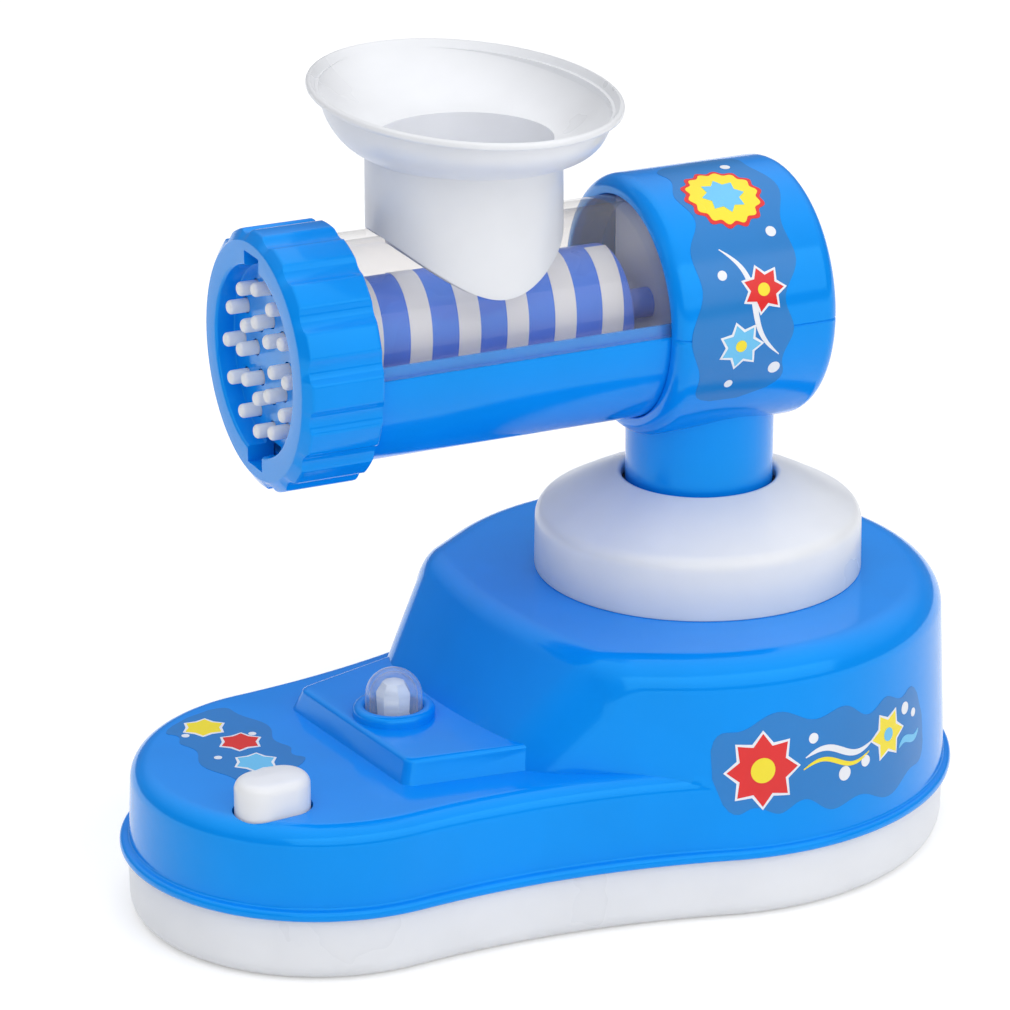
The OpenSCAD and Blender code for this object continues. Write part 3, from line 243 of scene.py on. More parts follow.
def rounded(points, radii, steps=5, closed=False):
    """Path through 2-D points with each corner rounded by its radius; 0 keeps the corner."""
    path = []
    last = len(points) - 1
    for i, corner in enumerate(points):
        b = Vector(corner)
        if radii[i] == 0 or (not closed and i in (0, last)):
            path.append(tuple(b))
            continue
        u = (Vector(points[i - 1]) - b).normalized()
        v = (Vector(points[(i + 1) % len(points)]) - b).normalized()
        half = u.angle(v)/2
        middle = b + (u + v).normalized()*radii[i]/sin(half)
        reach = radii[i]/tan(half)
        start = b + u*reach - middle
        turn = start.angle_signed(b + v*reach - middle)
        for k in range(steps + 1):
            path.append(tuple(middle + Matrix.Rotation(-turn*k/steps, 2) @ start))
    return path


def about_x(along, radius, angle):
    """Point round the X axis."""
    return along, radius*cos(angle), radius*sin(angle)


def about_z(along, radius, angle):
    """Point round the Z axis."""
    return radius*cos(angle), radius*sin(angle), along


def lathe(name, profile, axis, place=STILL, n=128, closed=True):
    """Full turn of a profile of (along, radius) points; an open profile starts and ends on the axis."""
    rings = [[axis(x, r, 2*pi*i/n) for x, r in profile] for i in range(n)]
    return new_object(name, *skin(rings, wrap=closed, closed=True), place)


def half_lathe(name, profile, start, end, place, n=96, chamfer=0.25):
    """Part of a turn about X of a closed profile, with its cut faces chamfered and capped."""
    mid_r = sum(r for x, r in profile)/len(profile)
    small = [(x, r - chamfer if r > mid_r else r + chamfer) for x, r in profile]
    lip = chamfer/mid_r
    stops = [start + lip + (end - start - 2*lip)*i/n for i in range(n + 1)]
    rings = [[about_x(x, r, start) for x, r in small]]
    rings += [[about_x(x, r, a) for x, r in profile] for a in stops]
    rings += [[about_x(x, r, end) for x, r in small]]
    return new_object(name, *capped(rings), place)


def block(name, rings, place=STILL):
    """Closed solid through flat rings."""
    return new_object(name, *capped(rings), place)


def cylinder(radius, low, high, axis=about_z, place=STILL, centre=(0, 0, 0), n=64):
    """Plain cylinder, for cutting holes."""
    shift = Vector(centre)
    angles = [2*pi*i/n for i in range(n)]
    rings = [[tuple(Vector(axis(h, radius, a)) + shift) for a in angles] for h in (low, high)]
    return block("cutter", rings, place)


def box_cutter(low, high, place=STILL):
    """Plain box, for cutting recesses."""
    corners = [(low[0], low[1]), (high[0], low[1]), (high[0], high[1]), (low[0], high[1])]
    return block("cutter", [[(x, y, z) for x, y in corners] for z in (low[2], high[2])], place)


def combine(obj, others, operation):
    """Cuts the other solids out of the object, or joins them to it, and removes them."""
    for other in others:
        step = obj.modifiers.new("combine", "BOOLEAN")
        step.operation = operation
        step.solver = "EXACT"
        step.object = other
    graph = bpy.context.evaluated_depsgraph_get()
    mesh = bpy.data.meshes.new_from_object(obj.evaluated_get(graph))
    obj.modifiers.clear()
    obj.data = mesh
    for other in others:
        bpy.data.objects.remove(other)
    finish_mesh(obj)


def piece(obj, material, body, slot, *nodes):
    """Gives a finished form its material and body, and hides the nodes that it stands for; the slot is not
    used.
    """
    obj.data.materials.clear()
    obj.data.materials.append(material)
    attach(obj, body)
    if nodes:
        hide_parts(*nodes)


# Materials

CLOUD_SCALE = 45
HAZE_SCALE = 60
GRAIN_SCALE = 1800
GRAIN_HEIGHT = 0.00005
TONE_SPREAD = 0.03
GLOSS_SPREAD = 0.12


def srgb(code):
    """Linear colour of a hexadecimal colour code."""
    parts = [int(code[i:i + 2], 16)/255 for i in (1, 3, 5)]
    return tuple(c/12.92 if c <= 0.04045 else ((c + 0.055)/1.055)**2.4 for c in parts) + (1,)


def scaled(colour, factor):
    """Lighter or darker colour."""
    return tuple(min(1, c*factor) for c in colour[:3]) + (1,)


def noise_node(tree, scale, detail):
    """Noise in the object's own coordinates."""
    coords = tree.nodes.new("ShaderNodeTexCoord")
    cloud = tree.nodes.new("ShaderNodeTexNoise")
    cloud.inputs["Scale"].default_value = scale
    cloud.inputs["Detail"].default_value = detail
    tree.links.new(coords.outputs["Object"], cloud.inputs["Vector"])
    return cloud


def tone_node(tree, cloud, low, high):
    """Colour between two tones, led by the noise."""
    ramp = tree.nodes.new("ShaderNodeValToRGB")
    ramp.color_ramp.elements[0].position = 0.35
    ramp.color_ramp.elements[0].color = low
    ramp.color_ramp.elements[1].position = 0.65
    ramp.color_ramp.elements[1].color = high
    tree.links.new(cloud.outputs["Fac"], ramp.inputs["Fac"])
    return ramp


def range_node(tree, cloud, low, high):
    """Value between two limits, led by the noise."""
    spread = tree.nodes.new("ShaderNodeMapRange")
    spread.inputs["From Min"].default_value = 0.3
    spread.inputs["From Max"].default_value = 0.7
    spread.inputs["To Min"].default_value = low
    spread.inputs["To Max"].default_value = high
    tree.links.new(cloud.outputs["Fac"], spread.inputs["Value"])
    return spread


def solid_material(name, code, roughness, metallic=0.0, tint=(1, 1, 1), specular=0.5, depth=0.0):
    """Surface with slightly uneven colour and gloss and a fine moulded grain."""
    material = bpy.data.materials.new(name)
    material.use_nodes = True
    tree = material.node_tree
    shader = tree.nodes["Principled BSDF"]
    colour = srgb(code)
    cloud = noise_node(tree, CLOUD_SCALE, 3)
    tone = tone_node(tree, cloud, scaled(colour, 1 - TONE_SPREAD), scaled(colour, 1 + TONE_SPREAD))
    gloss = range_node(tree, cloud, roughness*(1 - GLOSS_SPREAD), roughness*(1 + GLOSS_SPREAD))
    grain = noise_node(tree, GRAIN_SCALE, 2)
    bump = tree.nodes.new("ShaderNodeBump")
    bump.inputs["Strength"].default_value = 0.04
    bump.inputs["Distance"].default_value = GRAIN_HEIGHT
    tree.links.new(grain.outputs["Fac"], bump.inputs["Height"])
    tree.links.new(tone.outputs["Color"], shader.inputs["Base Color"])
    tree.links.new(gloss.outputs["Result"], shader.inputs["Roughness"])
    tree.links.new(bump.outputs["Normal"], shader.inputs["Normal"])
    shader.inputs["Metallic"].default_value = metallic
    shader.inputs["Specular IOR Level"].default_value = specular
    shader.inputs["Specular Tint"].default_value = tint + (1,)
    if depth:
        shader.inputs["Subsurface Weight"].default_value = depth
        shader.inputs["Subsurface Radius"].default_value = (1, 1, 1)
        shader.inputs["Subsurface Scale"].default_value = 0.002
    return material


def clear_material(name, code, through, haze_low, haze_high, roughness):
    """See-through moulding: a haze that thickens towards the edges, under a glossy surface."""
    material = bpy.data.materials.new(name)
    material.use_nodes = True
    tree = material.node_tree
    shader = tree.nodes["Principled BSDF"]
    cloud = noise_node(tree, HAZE_SCALE, 2)
    colour = srgb(code)
    tone = tone_node(tree, cloud, scaled(colour, 1 - TONE_SPREAD), scaled(colour, 1 + TONE_SPREAD))
    tree.links.new(tone.outputs["Color"], shader.inputs["Base Color"])
    shader.inputs["Roughness"].default_value = 0.4
    shader.inputs["Specular IOR Level"].default_value = 0.0
    clear = tree.nodes.new("ShaderNodeBsdfTransparent")
    clear.inputs["Color"].default_value = srgb(through)
    edge = tree.nodes.new("ShaderNodeLayerWeight")
    edge.inputs["Blend"].default_value = 0.35
    haze = tree.nodes.new("ShaderNodeMapRange")
    haze.inputs["To Min"].default_value = haze_low
    haze.inputs["To Max"].default_value = haze_high
    tree.links.new(edge.outputs["Facing"], haze.inputs["Value"])
    side = tree.nodes.new("ShaderNodeNewGeometry")
    front = tree.nodes.new("ShaderNodeMath")
    front.operation = "SUBTRACT"
    front.inputs[0].default_value = 1
    tree.links.new(side.outputs["Backfacing"], front.inputs[1])
    veil = tree.nodes.new("ShaderNodeMath")
    veil.operation = "MULTIPLY"
    tree.links.new(haze.outputs["Result"], veil.inputs[0])
    tree.links.new(front.outputs["Value"], veil.inputs[1])
    body = tree.nodes.new("ShaderNodeMixShader")
    tree.links.new(veil.outputs["Value"], body.inputs["Fac"])
    tree.links.new(clear.outputs["BSDF"], body.inputs[1])
    tree.links.new(shader.outputs["BSDF"], body.inputs[2])
    shine = tree.nodes.new("ShaderNodeBsdfGlossy")
    gloss = range_node(tree, cloud, roughness*0.8, roughness*1.2)
    tree.links.new(gloss.outputs["Result"], shine.inputs["Roughness"])
    tilt = tree.nodes.new("ShaderNodeLayerWeight")
    tilt.inputs["Blend"].default_value = 0.5
    curve = tree.nodes.new("ShaderNodeMath")
    curve.operation = "POWER"
    curve.inputs[1].default_value = 4
    tree.links.new(tilt.outputs["Facing"], curve.inputs[0])
    mirror = tree.nodes.new("ShaderNodeMapRange")
    mirror.inputs["To Min"].default_value = 0.04
    mirror.inputs["To Max"].default_value = 0.6
    tree.links.new(curve.outputs["Value"], mirror.inputs["Value"])
    share = tree.nodes.new("ShaderNodeMath")
    share.operation = "MULTIPLY"
    tree.links.new(mirror.outputs["Result"], share.inputs[0])
    tree.links.new(front.outputs["Value"], share.inputs[1])
    surface = tree.nodes.new("ShaderNodeMixShader")
    tree.links.new(share.outputs["Value"], surface.inputs["Fac"])
    tree.links.new(body.outputs["Shader"], surface.inputs[1])
    tree.links.new(shine.outputs["BSDF"], surface.inputs[2])
    tree.links.new(surface.outputs["Shader"], tree.nodes["Material Output"].inputs["Surface"])
    return material


def make_materials():
    """Finishes of the pieces, by the record's slots and by the colours of the stickers."""
    sky = (0.14, 0.78, 1.0)
    return {
        "white": solid_material("white_plastic", "#EDEEF0", 0.3, depth=0.12),
        "blue": solid_material("blue_plastic", "#078FF3", 0.13, tint=sky, specular=0.8),
        "clear": clear_material("clear_plastic", "#BAB8B8", "#FEFDFC", 0.06, 0.32, 0.05),
        "lens": clear_material("lens_plastic", "#EEF3FA", "#FDFEFF", 0.08, 0.5, 0.04),
        "led": solid_material("led_resin", "#E4EAF3", 0.08, specular=1.0),
        "drum": solid_material("drum_plastic", "#4A80F6", 0.28, tint=sky),
        "stripe": solid_material("stripe_print", "#F4F5F8", 0.35),
        "grey": solid_material("grey_plastic", "#E4E7F0", 0.4),
        "gear": solid_material("gear_plastic", "#E9E6DC", 0.35),
        "brass": solid_material("brass", "#C79A4A", 0.3, metallic=1.0),
        "black": solid_material("black_plastic", "#26282C", 0.45),
        "board": solid_material("board_green", "#1F6B3C", 0.5),
        "cell": solid_material("cell_wrap", "#C9A24B", 0.35),
        "lead": solid_material("lead_rubber", "#8E2A2A", 0.5),
        "steel": solid_material("steel", "#BFC3C8", 0.28, metallic=1.0),
        "backing": solid_material("sticker_blue", "#107CC8", 0.22),
        "yellow": solid_material("sticker_yellow", "#FBE52A", 0.25),
        "red": solid_material("sticker_red", "#E5201F", 0.25),
        "pale": solid_material("sticker_pale", "#6CC6F2", 0.25),
        "paper": solid_material("sticker_white", "#F0F2F6", 0.25),
    }


# Base

HEEL_STEPS = 220
FLANK_STEPS = 72
TOE_STEPS = 150
SIDE_STEPS = 60
NOSE_STEPS = 60


def plan_spots():
    """Spots along the edge of the base.

    Each holds a centre, radius, effect of an inset, angle, place on the spine and share of the heel.
    """
    spots = []
    for i in range(HEEL_STEPS):
        a = -HEEL_ANGLE + 2*HEEL_ANGLE*i/HEEL_STEPS
        spots.append((HEEL_X, 0, HEEL_R, -1, a, HEEL_X, 1))
    for i in range(FLANK_STEPS):
        t = i/FLANK_STEPS
        a = HEEL_ANGLE - pi + (TOE_ANGLE - HEEL_ANGLE)*t
        spots.append((FLANK_X, FLANK_Y, FLANK_R, 1, a, HEEL_X - HEEL_TO_TOE*t, max(0, 1 - 4*t)))
    for i in range(TOE_STEPS):
        a = TOE_ANGLE + (2*pi - 2*TOE_ANGLE)*i/TOE_STEPS
        spots.append((TOE_X, 0, TOE_R, -1, a, TOE_X, 0))
    for i in range(FLANK_STEPS):
        t = i/FLANK_STEPS
        a = pi - TOE_ANGLE + (TOE_ANGLE - HEEL_ANGLE)*t
        spots.append((FLANK_X, -FLANK_Y, FLANK_R, 1, a, TOE_X + HEEL_TO_TOE*t, max(0, 4*t - 3)))
    return spots


def edge_point(spot, inset):
    """Point at a spot of the edge, set in by a distance."""
    x, y, radius, sign, a = spot[:5]
    return x + (radius + sign*inset)*cos(a), y + (radius + sign*inset)*sin(a)


def lean(z):
    """How far the wall leans in at a height."""
    return HEEL_LEAN*(z - TRAY_H)/(HEEL_Z - TRAY_H)


def nose_spots():
    """Spots round the heel and its nose, which straight sides join."""
    spots = []
    for i in range(HEEL_STEPS):
        a = -NOSE_ANGLE + 2*NOSE_ANGLE*i/HEEL_STEPS
        spots.append((HEEL_X, 0, HEEL_R, -1, a, HEEL_X, 1))
    for i in range(SIDE_STEPS):
        t = i/SIDE_STEPS
        x = HEEL_X + (NOSE_X - HEEL_X)*t
        spots.append((x, 0, HEEL_R + (NOSE_R - HEEL_R)*t, -1, NOSE_ANGLE, x, 1))
    for i in range(NOSE_STEPS):
        a = NOSE_ANGLE + (2*pi - 2*NOSE_ANGLE)*i/NOSE_STEPS
        spots.append((NOSE_X, 0, NOSE_R, -1, a, NOSE_X, 1))
    for i in range(SIDE_STEPS):
        t = i/SIDE_STEPS
        x = NOSE_X + (HEEL_X - NOSE_X)*t
        spots.append((x, 0, NOSE_R + (HEEL_R - NOSE_R)*t, -1, -NOSE_ANGLE, x, 1))
    return spots


def flat_deck(x, y):
    """Height and tilt of the deck."""
    return DECK_Z, 1


def ramp_surface(x, y):
    """Height of the heel and cosine of its slope: flat top, rounded crest and conical ramp."""
    rho = hypot(x - RAMP_X, y)
    slope = tan(RAMP_ANGLE)
    crest = RAMP_R - (HEEL_Z - DECK_Z)/slope
    reach = EDGE_R*tan(RAMP_ANGLE/2)
    if rho <= crest - reach:
        return HEEL_Z, 1
    if rho <= crest + reach*cos(RAMP_ANGLE):
        drop = sqrt(EDGE_R**2 - (rho - crest + reach)**2)
        return HEEL_Z - EDGE_R + drop, drop/EDGE_R
    return HEEL_Z - (rho - crest)*slope, cos(RAMP_ANGLE)


def upper_column(spot, set_in, surface, edge_r, wall_low, wall_steps, edge_steps, top_steps):
    """Points from the wall foot over the rounded edge to the spine, with every face set in."""
    inset = FLANGE_OUT - HEEL_STEP*spot[6] + set_in
    radius = edge_r - set_in
    edge = []
    for i in range(edge_steps + 1):
        a = radians(90*i/edge_steps)
        z = DECK_Z
        # The lean depends on the height, so both settle in a few tries
        for tries in range(5):
            place = edge_point(spot, inset + lean(z) + radius*(1 - cos(a)))
            height, tilt = surface(*place)
            z = height - (set_in + radius*(1 - sin(a)))/tilt
        edge.append(place + (z,))
    column = []
    for i in range(wall_steps):
        z = wall_low + (edge[0][2] - wall_low)*i/wall_steps
        column.append(edge_point(spot, inset + lean(z)) + (z,))
    column += edge
    x0, y0 = edge[-1][:2]
    for i in range(1, top_steps + 1):
        x = x0 + (spot[5] - x0)*i/top_steps
        y = y0*(1 - i/top_steps)
        height, tilt = surface(x, y)
        column.append((x, y, height - set_in/tilt))
    return column


def deck_solid(set_in):
    """Low part of the shell over the whole plan, with its flange when it isn't set in."""
    columns = []
    for spot in plan_spots():
        if set_in:
            low = TRAY_H - 1
            foot = [(spot[5], 0, low)]
            top = upper_column(spot, set_in, flat_deck, DECK_EDGE_R, low, 3, 6, 2)
        else:
            low = TRAY_H + FLANGE_T + WALL_FOOT
            foot = [(spot[5], 0, TRAY_H)] + flange_column(spot)
            top = upper_column(spot, 0, flat_deck, DECK_EDGE_R, low, 6, 12, 2)
        columns.append(foot + top)
    return new_object("deck_solid", *skin(columns, wrap=False, closed=True))


def heel_solid(set_in, top_steps):
    """Heel and nose with the ramp."""
    low = TRAY_H - 2 if set_in else TRAY_H + FLANGE_T*0.75
    columns = []
    for spot in nose_spots():
        column = upper_column(spot, set_in, ramp_surface, EDGE_R, low, 8, 14, top_steps)
        columns.append([(spot[5], 0, low)] + column)
    return new_object("heel_solid", *skin(columns, wrap=False, closed=True))


def flange_column(spot):
    """Points of the flange from its underside round its bead to the foot of the wall."""
    inset = FLANGE_OUT - HEEL_STEP*spot[6]
    low = TRAY_H
    high = TRAY_H + FLANGE_T
    wall = inset + lean(high)
    inner = FLANGE_OUT + SHELL_T - 0.4
    corners = [(inner, low), (0, low), (0, high), (wall, high), (wall, high + WALL_FOOT)]
    path = rounded(corners, [0, 0.7, 0.9, 0.5, 0], steps=4)
    return [edge_point(spot, d) + (z,) for d, z in path[:-1]]


def make_base_shell(material):
    shell = deck_solid(0)
    shell.name = "base_shell_form"
    combine(shell, [heel_solid(0, 64), plateau_block(), lamp_collar()], "UNION")
    holes = [
        deck_solid(SHELL_T),
        heel_solid(SHELL_T, 24),
        cylinder(LAMP_R + 2, DECK_Z - 5, PLATEAU_Z - SHELL_T, centre=(LAMP_X, 0, 0)),
        cylinder(LAMP_R + SEAT, PLATEAU_Z - 5, LAMP_TOP_Z + 5, centre=(LAMP_X, 0, 0), n=96),
        cylinder(JOURNAL_R + CLEAR, HEEL_Z - 9, HEEL_Z + 5, centre=(PIVOT_X, 0, 0), n=96),
        block("cutter", [stadium(CLEAR + 0.15, z) for z in (DECK_Z - 5, DECK_Z + 5)]),
    ]
    combine(shell, holes, "DIFFERENCE")
    piece(shell, material, "base", "blue", "base_shell")


def plateau_block():
    """Raised plateau with sloped sides, rounded corners and a small rounding along its upper edge."""
    x_front = PLATEAU_FRONT
    x_back = RAMP_FOOT + PLATEAU_TAIL
    levels = [(-PLATEAU_SLOPE, DECK_Z - 1.2), (-PLATEAU_SLOPE, DECK_Z)]
    soft = PLATEAU_EDGE_R
    for i in range(6):
        a = radians(90*i/5)
        levels.append((soft*(1 - cos(a)) - 0.25*cos(a), PLATEAU_Z - soft + soft*sin(a)))
    rings = []
    for q, z in levels:
        corners = [(x_front + q, PLATEAU_HALF_FRONT - q), (x_front + q, q - PLATEAU_HALF_FRONT),
                   (x_back, q - PLATEAU_HALF_BACK), (x_back, PLATEAU_HALF_BACK - q)]
        outline = rounded(corners, [PLATEAU_CORNER_R, PLATEAU_CORNER_R, 0, 0], steps=8, closed=True)
        rings.append([(x, y, z) for x, y in outline])
    return block("plateau", rings)


def lamp_collar():
    """Rounded ring round the lamp."""
    hole = LAMP_R + SEAT + 0.02
    profile = rounded([(PLATEAU_Z - 1, hole), (PLATEAU_Z - 1, LAMP_COLLAR_R), (LAMP_TOP_Z, LAMP_COLLAR_R),
                       (LAMP_TOP_Z, hole)], [0, 0, 1.25, 0.9], steps=8, closed=True)
    return lathe("collar", profile, about_z, Matrix.Translation((LAMP_X, 0, 0)), n=96)


def tray_column(spot):
    """Points of the tray from the spine over its floor and wall and back along the underside."""
    inner = FLANGE_OUT + SHELL_T
    path = rounded([(inner + 14, FLOOR_T), (inner, FLOOR_T), (inner, TRAY_H), (FLANGE_OUT, TRAY_H),
                    (FLANGE_OUT - 0.1, TRAY_H*0.55), (FLANGE_OUT, 0), (FLANGE_OUT + 14, 0)],
                   [0, TRAY_EDGE_R - 1, 0, 0.3, 12, TRAY_EDGE_R, 0], steps=7)
    return [(spot[5], 0, FLOOR_T)] + [edge_point(spot, d) + (z,) for d, z in path] + [(spot[5], 0, 0)]


def make_base_tray(material):
    columns = [tray_column(spot) for spot in plan_spots()]
    tray = new_object("base_tray_form", *skin(columns, wrap=False, closed=True))
    low, high = (Vector(corner)/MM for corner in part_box("battery_door"))
    gap = DOOR_GAP
    cuts = [box_cutter((low.x - gap, low.y - gap, -1), (high.x + gap, high.y + gap, high.z + gap + 1))]
    cuts += [cylinder(TRAY_HOLE_R, -1, FLOOR_T + 1, centre=(x, y, 0), n=48) for x, y in TRAY_HOLES]
    combine(tray, cuts, "DIFFERENCE")
    piece(tray, material, "base", "white", "base_tray")


def make_collar(material):
    wall_top = (HEEL_Z + COLLAR_WALL_H, COLLAR_R)
    peak = (HEEL_Z + COLLAR_H, COLLAR_HOLE_R)
    bulge = ((wall_top[0] + peak[0])/2 + 0.6, (wall_top[1] + peak[1])/2)
    profile = rounded([(HEEL_Z, COLLAR_R - SHELL_T), (HEEL_Z, COLLAR_R + 0.15), wall_top, bulge, peak,
                       (peak[0] - 3, COLLAR_HOLE_R), (peak[0] - 2.4, COLLAR_HOLE_R + 1.5),
                       (wall_top[0] - 1, COLLAR_R - SHELL_T)],
                      [0, 0.3, 3.6, 60, 0.9, 0.3, 0, 0], steps=8, closed=True)
    collar = lathe("swivel_collar_form", profile, about_z, Matrix.Translation((PIVOT_X, 0, 0)), n=160)
    piece(collar, material, "base", "white", "swivel_collar")


def stadium(grow, z, n=48):
    """Outline of the button at height z, grown by a margin."""
    r = BUTTON_W/2 + grow
    half = (BUTTON_LEN - BUTTON_W)/2
    ring = []
    for i in range(2*n):
        a = -pi/2 + pi*i/(n - 1) if i < n else pi/2 + pi*(i - n)/(n - 1)
        side = half if i < n else -half
        ring.append((BUTTON_X + side + r*cos(a), BUTTON_Y + r*sin(a), z))
    return ring


def make_button(material):
    top = DECK_Z + BUTTON_H
    soft = BUTTON_EDGE_R
    rings = [stadium(0, DECK_Z - 3.9), stadium(0, top - soft)]
    for i in range(1, 9):
        a = radians(90*i/8)
        rings.append(stadium(soft*(cos(a) - 1), top - soft - 0.25 + soft*sin(a)))
    rings.append(stadium(-3.6, top - 0.06))
    rings.append(stadium(-BUTTON_W/2 + 0.05, top))
    button = block("push_button_form", rings)
    piece(button, material, "button", "white", "push_button")


def make_lamp(clear, led):
    foot_z = PLATEAU_Z - SHELL_T - SEAT - 1.5
    inner = LAMP_R - LAMP_WALL
    outer_dome = [(LAMP_CENTRE_Z + LAMP_R*sin(radians(a)), LAMP_R*cos(radians(a))) for a in range(0, 91, 6)]
    inner_dome = [(LAMP_CENTRE_Z + inner*sin(radians(a)), inner*cos(radians(a))) for a in range(90, -1, -6)]
    profile = inner_dome + [(foot_z, inner), (foot_z, LAMP_R + 1.8), (foot_z + 1.5, LAMP_R + 1.8),
                            (foot_z + 1.5, LAMP_R)] + outer_dome
    place = Matrix.Translation((LAMP_X, 0, 0))
    lens = lathe("lamp_lens_form", profile, about_z, place, n=96, closed=False)
    piece(lens, clear, "base", "clear", "lamp_lens")
    led_z = foot_z + 2
    brim_r = LED_R + LED_BRIM
    bulb = [(led_z, 0), (led_z, brim_r), (led_z + 1, brim_r), (led_z + 1, LED_R),
            (led_z + 6.4, LED_R + 0.3), (led_z + 8.4, LED_R*0.72), (led_z + 9.3, 0)]
    body = lathe("lamp_led_form", bulb, about_z, place, n=LED_FACETS, closed=False)
    piece(body, led, "base", "led", "lamp_led")


# Head

def housing_profile():
    """Closed section of the housing wall: front ring, side and rear disc."""
    bore = BARREL_R + SEAT
    front = -HOUSING_FRONT
    back = HOUSING_BACK
    corners = [(front + SHELL_T, bore), (front, bore), (front, HOUSING_R), (back, HOUSING_R), (back, 0.3)]
    outside = rounded(corners, [0, 0.4, 3.4, 3.2, 0], steps=8)
    inside = [(back - SHELL_T, 0.3), (back - SHELL_T, HOUSING_IN_R), (front + SHELL_T, HOUSING_IN_R)]
    return outside + inside


def make_head_upper(material):
    shell = half_lathe("head_upper_form", housing_profile(), 0, pi, HEAD_PLACE)
    piece(shell, material, "head", "blue", "head_upper")


def barrel_arc(radius, drop, steps):
    """Lower half of a round section that ends a little below the middle on both sides."""
    start = asin(drop/radius)
    angles = [start + (pi - 2*start)*i/steps for i in range(steps + 1)]
    return [(radius*cos(a), -radius*sin(a)) for a in angles]


def trough_ring(x):
    """Section of the lower barrel with the lip that stands up inside the window."""
    lip = [(BARREL_R - 0.35, 0), (BARREL_IN_R - 0.1, 0), (BARREL_IN_R - 0.2, 2.1), (BARREL_IN_R - 0.8, 2.1),
           (BARREL_IN_R - 0.8, -2.4)]
    outside = barrel_arc(BARREL_R, 0.35, 72)
    inside = barrel_arc(BARREL_IN_R, 3, 64)
    section = outside + [(-y, z) for y, z in lip] + inside[::-1] + lip[::-1]
    return [(x, y, z) for y, z in section]


def make_head_lower(material):
    shell = half_lathe("head_lower_form", housing_profile(), pi, 2*pi, HEAD_PLACE)
    trough = block("trough", [trough_ring(x) for x in (X_BARREL_FRONT, X_BARREL_REAR)], HEAD_PLACE)
    foot = HEEL_Z + CLEAR - BARREL_Z
    journal = HEEL_Z - 6 - CLEAR - BARREL_Z
    join = -sqrt((HOUSING_R - 1)**2 - NECK_R**2) + 1.5
    inner = NECK_R - NECK_WALL
    corners = [(journal, NECK_BORE_R), (journal, JOURNAL_R), (foot, JOURNAL_R), (foot, NECK_R),
               (join, NECK_R), (join, inner), (foot + 3, inner), (foot + 3, NECK_BORE_R)]
    profile = rounded(corners, [0, 0.3, 0, 0.5, 0, 0, 0, 0], steps=4, closed=True)
    neck = lathe("neck", profile, about_z, HEAD_PLACE, n=128)
    front = -HOUSING_FRONT + 2.5
    hollow = cylinder(HOUSING_IN_R, front, HOUSING_BACK - SHELL_T, about_x, HEAD_PLACE, n=160)
    combine(neck, [hollow], "DIFFERENCE")
    combine(shell, [neck, trough], "UNION")
    piece(shell, material, "head", "blue", "head_lower")


def make_window(material):
    section = rounded([(X_BARREL_FRONT, BARREL_IN_R), (X_BARREL_FRONT, BARREL_R), (X_BARREL_REAR, BARREL_R),
                       (X_BARREL_REAR, BARREL_IN_R)], [0.2]*4, steps=2, closed=True)
    gap = asin(0.08/BARREL_R)
    window = half_lathe("barrel_window_form", section, gap, pi - gap, HEAD_PLACE, n=120, chamfer=0.2)
    combine(window, [cylinder(CHUTE_R - 3.6, 5, 40, about_z, CHUTE_PLACE, n=96)], "DIFFERENCE")
    piece(window, material, "head", "clear", "barrel_window")


def flute_limit(a):
    """Radius of the cap's side at an angle, with its grip flutes."""
    step = 2*pi/CAP_FLUTES
    off = (a % step) - step/2
    centre = CAP_R + FLUTE_R - FLUTE_DEPTH
    reach = FLUTE_R**2 - (centre*sin(off))**2
    if reach <= 0:
        return CAP_R
    limit = centre*cos(off) - sqrt(reach)
    soft = 0.35
    blend = max(0, soft - abs(CAP_R - limit))/soft
    return min(CAP_R, limit) - blend**2*soft/4


def pin_spots():
    """Places of the pins in the plane of the plate."""
    spots = [(OUTER_RING_R, 2*pi*i/OUTER_PINS) for i in range(OUTER_PINS)]
    spots += [(INNER_RING_R, 2*pi*i/INNER_PINS) for i in range(INNER_PINS)]
    return [(r*cos(a), r*sin(a)) for r, a in spots]


def make_cap(material):
    bore = BARREL_R + SEAT
    corners = [(X_PLATE_FRONT, 0), (X_PLATE_FRONT, CAP_LIP_R), (X_CAP_FRONT, CAP_LIP_R),
               (X_CAP_FRONT, CAP_R - CAP_BEVEL), (X_CAP_FRONT + CAP_BEVEL_LEN, CAP_R), (X_CAP_REAR, CAP_R),
               (X_CAP_REAR, bore), (X_PLATE_REAR, bore), (X_PLATE_REAR, 0)]
    profile = rounded(corners, [0, 0.3, 0.6, 0.7, 0.9, 0.7, 0.2, 0, 0], steps=5)
    n = CAP_FLUTES*24
    rings = []
    for i in range(n):
        a = 2*pi*i/n
        rings.append([about_x(x, min(r, flute_limit(a)) if r > BARREL_R + 1 else r, a) for x, r in profile])
    cap = new_object("front_cap_form", *skin(rings, wrap=False, closed=True), HEAD_PLACE)
    cuts = [cylinder(PIN_R + CLEAR, X_CAP_FRONT, X_PLATE_REAR + 1, about_x, HEAD_PLACE, (0, y, z), 32)
            for y, z in pin_spots()]
    for low in (-SLOT_IN - SLOT_H, SLOT_IN):
        near = (X_CAP_FRONT - 1, -SLOT_HALF, low)
        far = (X_PLATE_REAR + 1, SLOT_HALF, low + SLOT_H)
        cuts.append(box_cutter(near, far, HEAD_PLACE))
    combine(cap, cuts, "DIFFERENCE")
    piece(cap, material, "head", "blue", "front_cap")


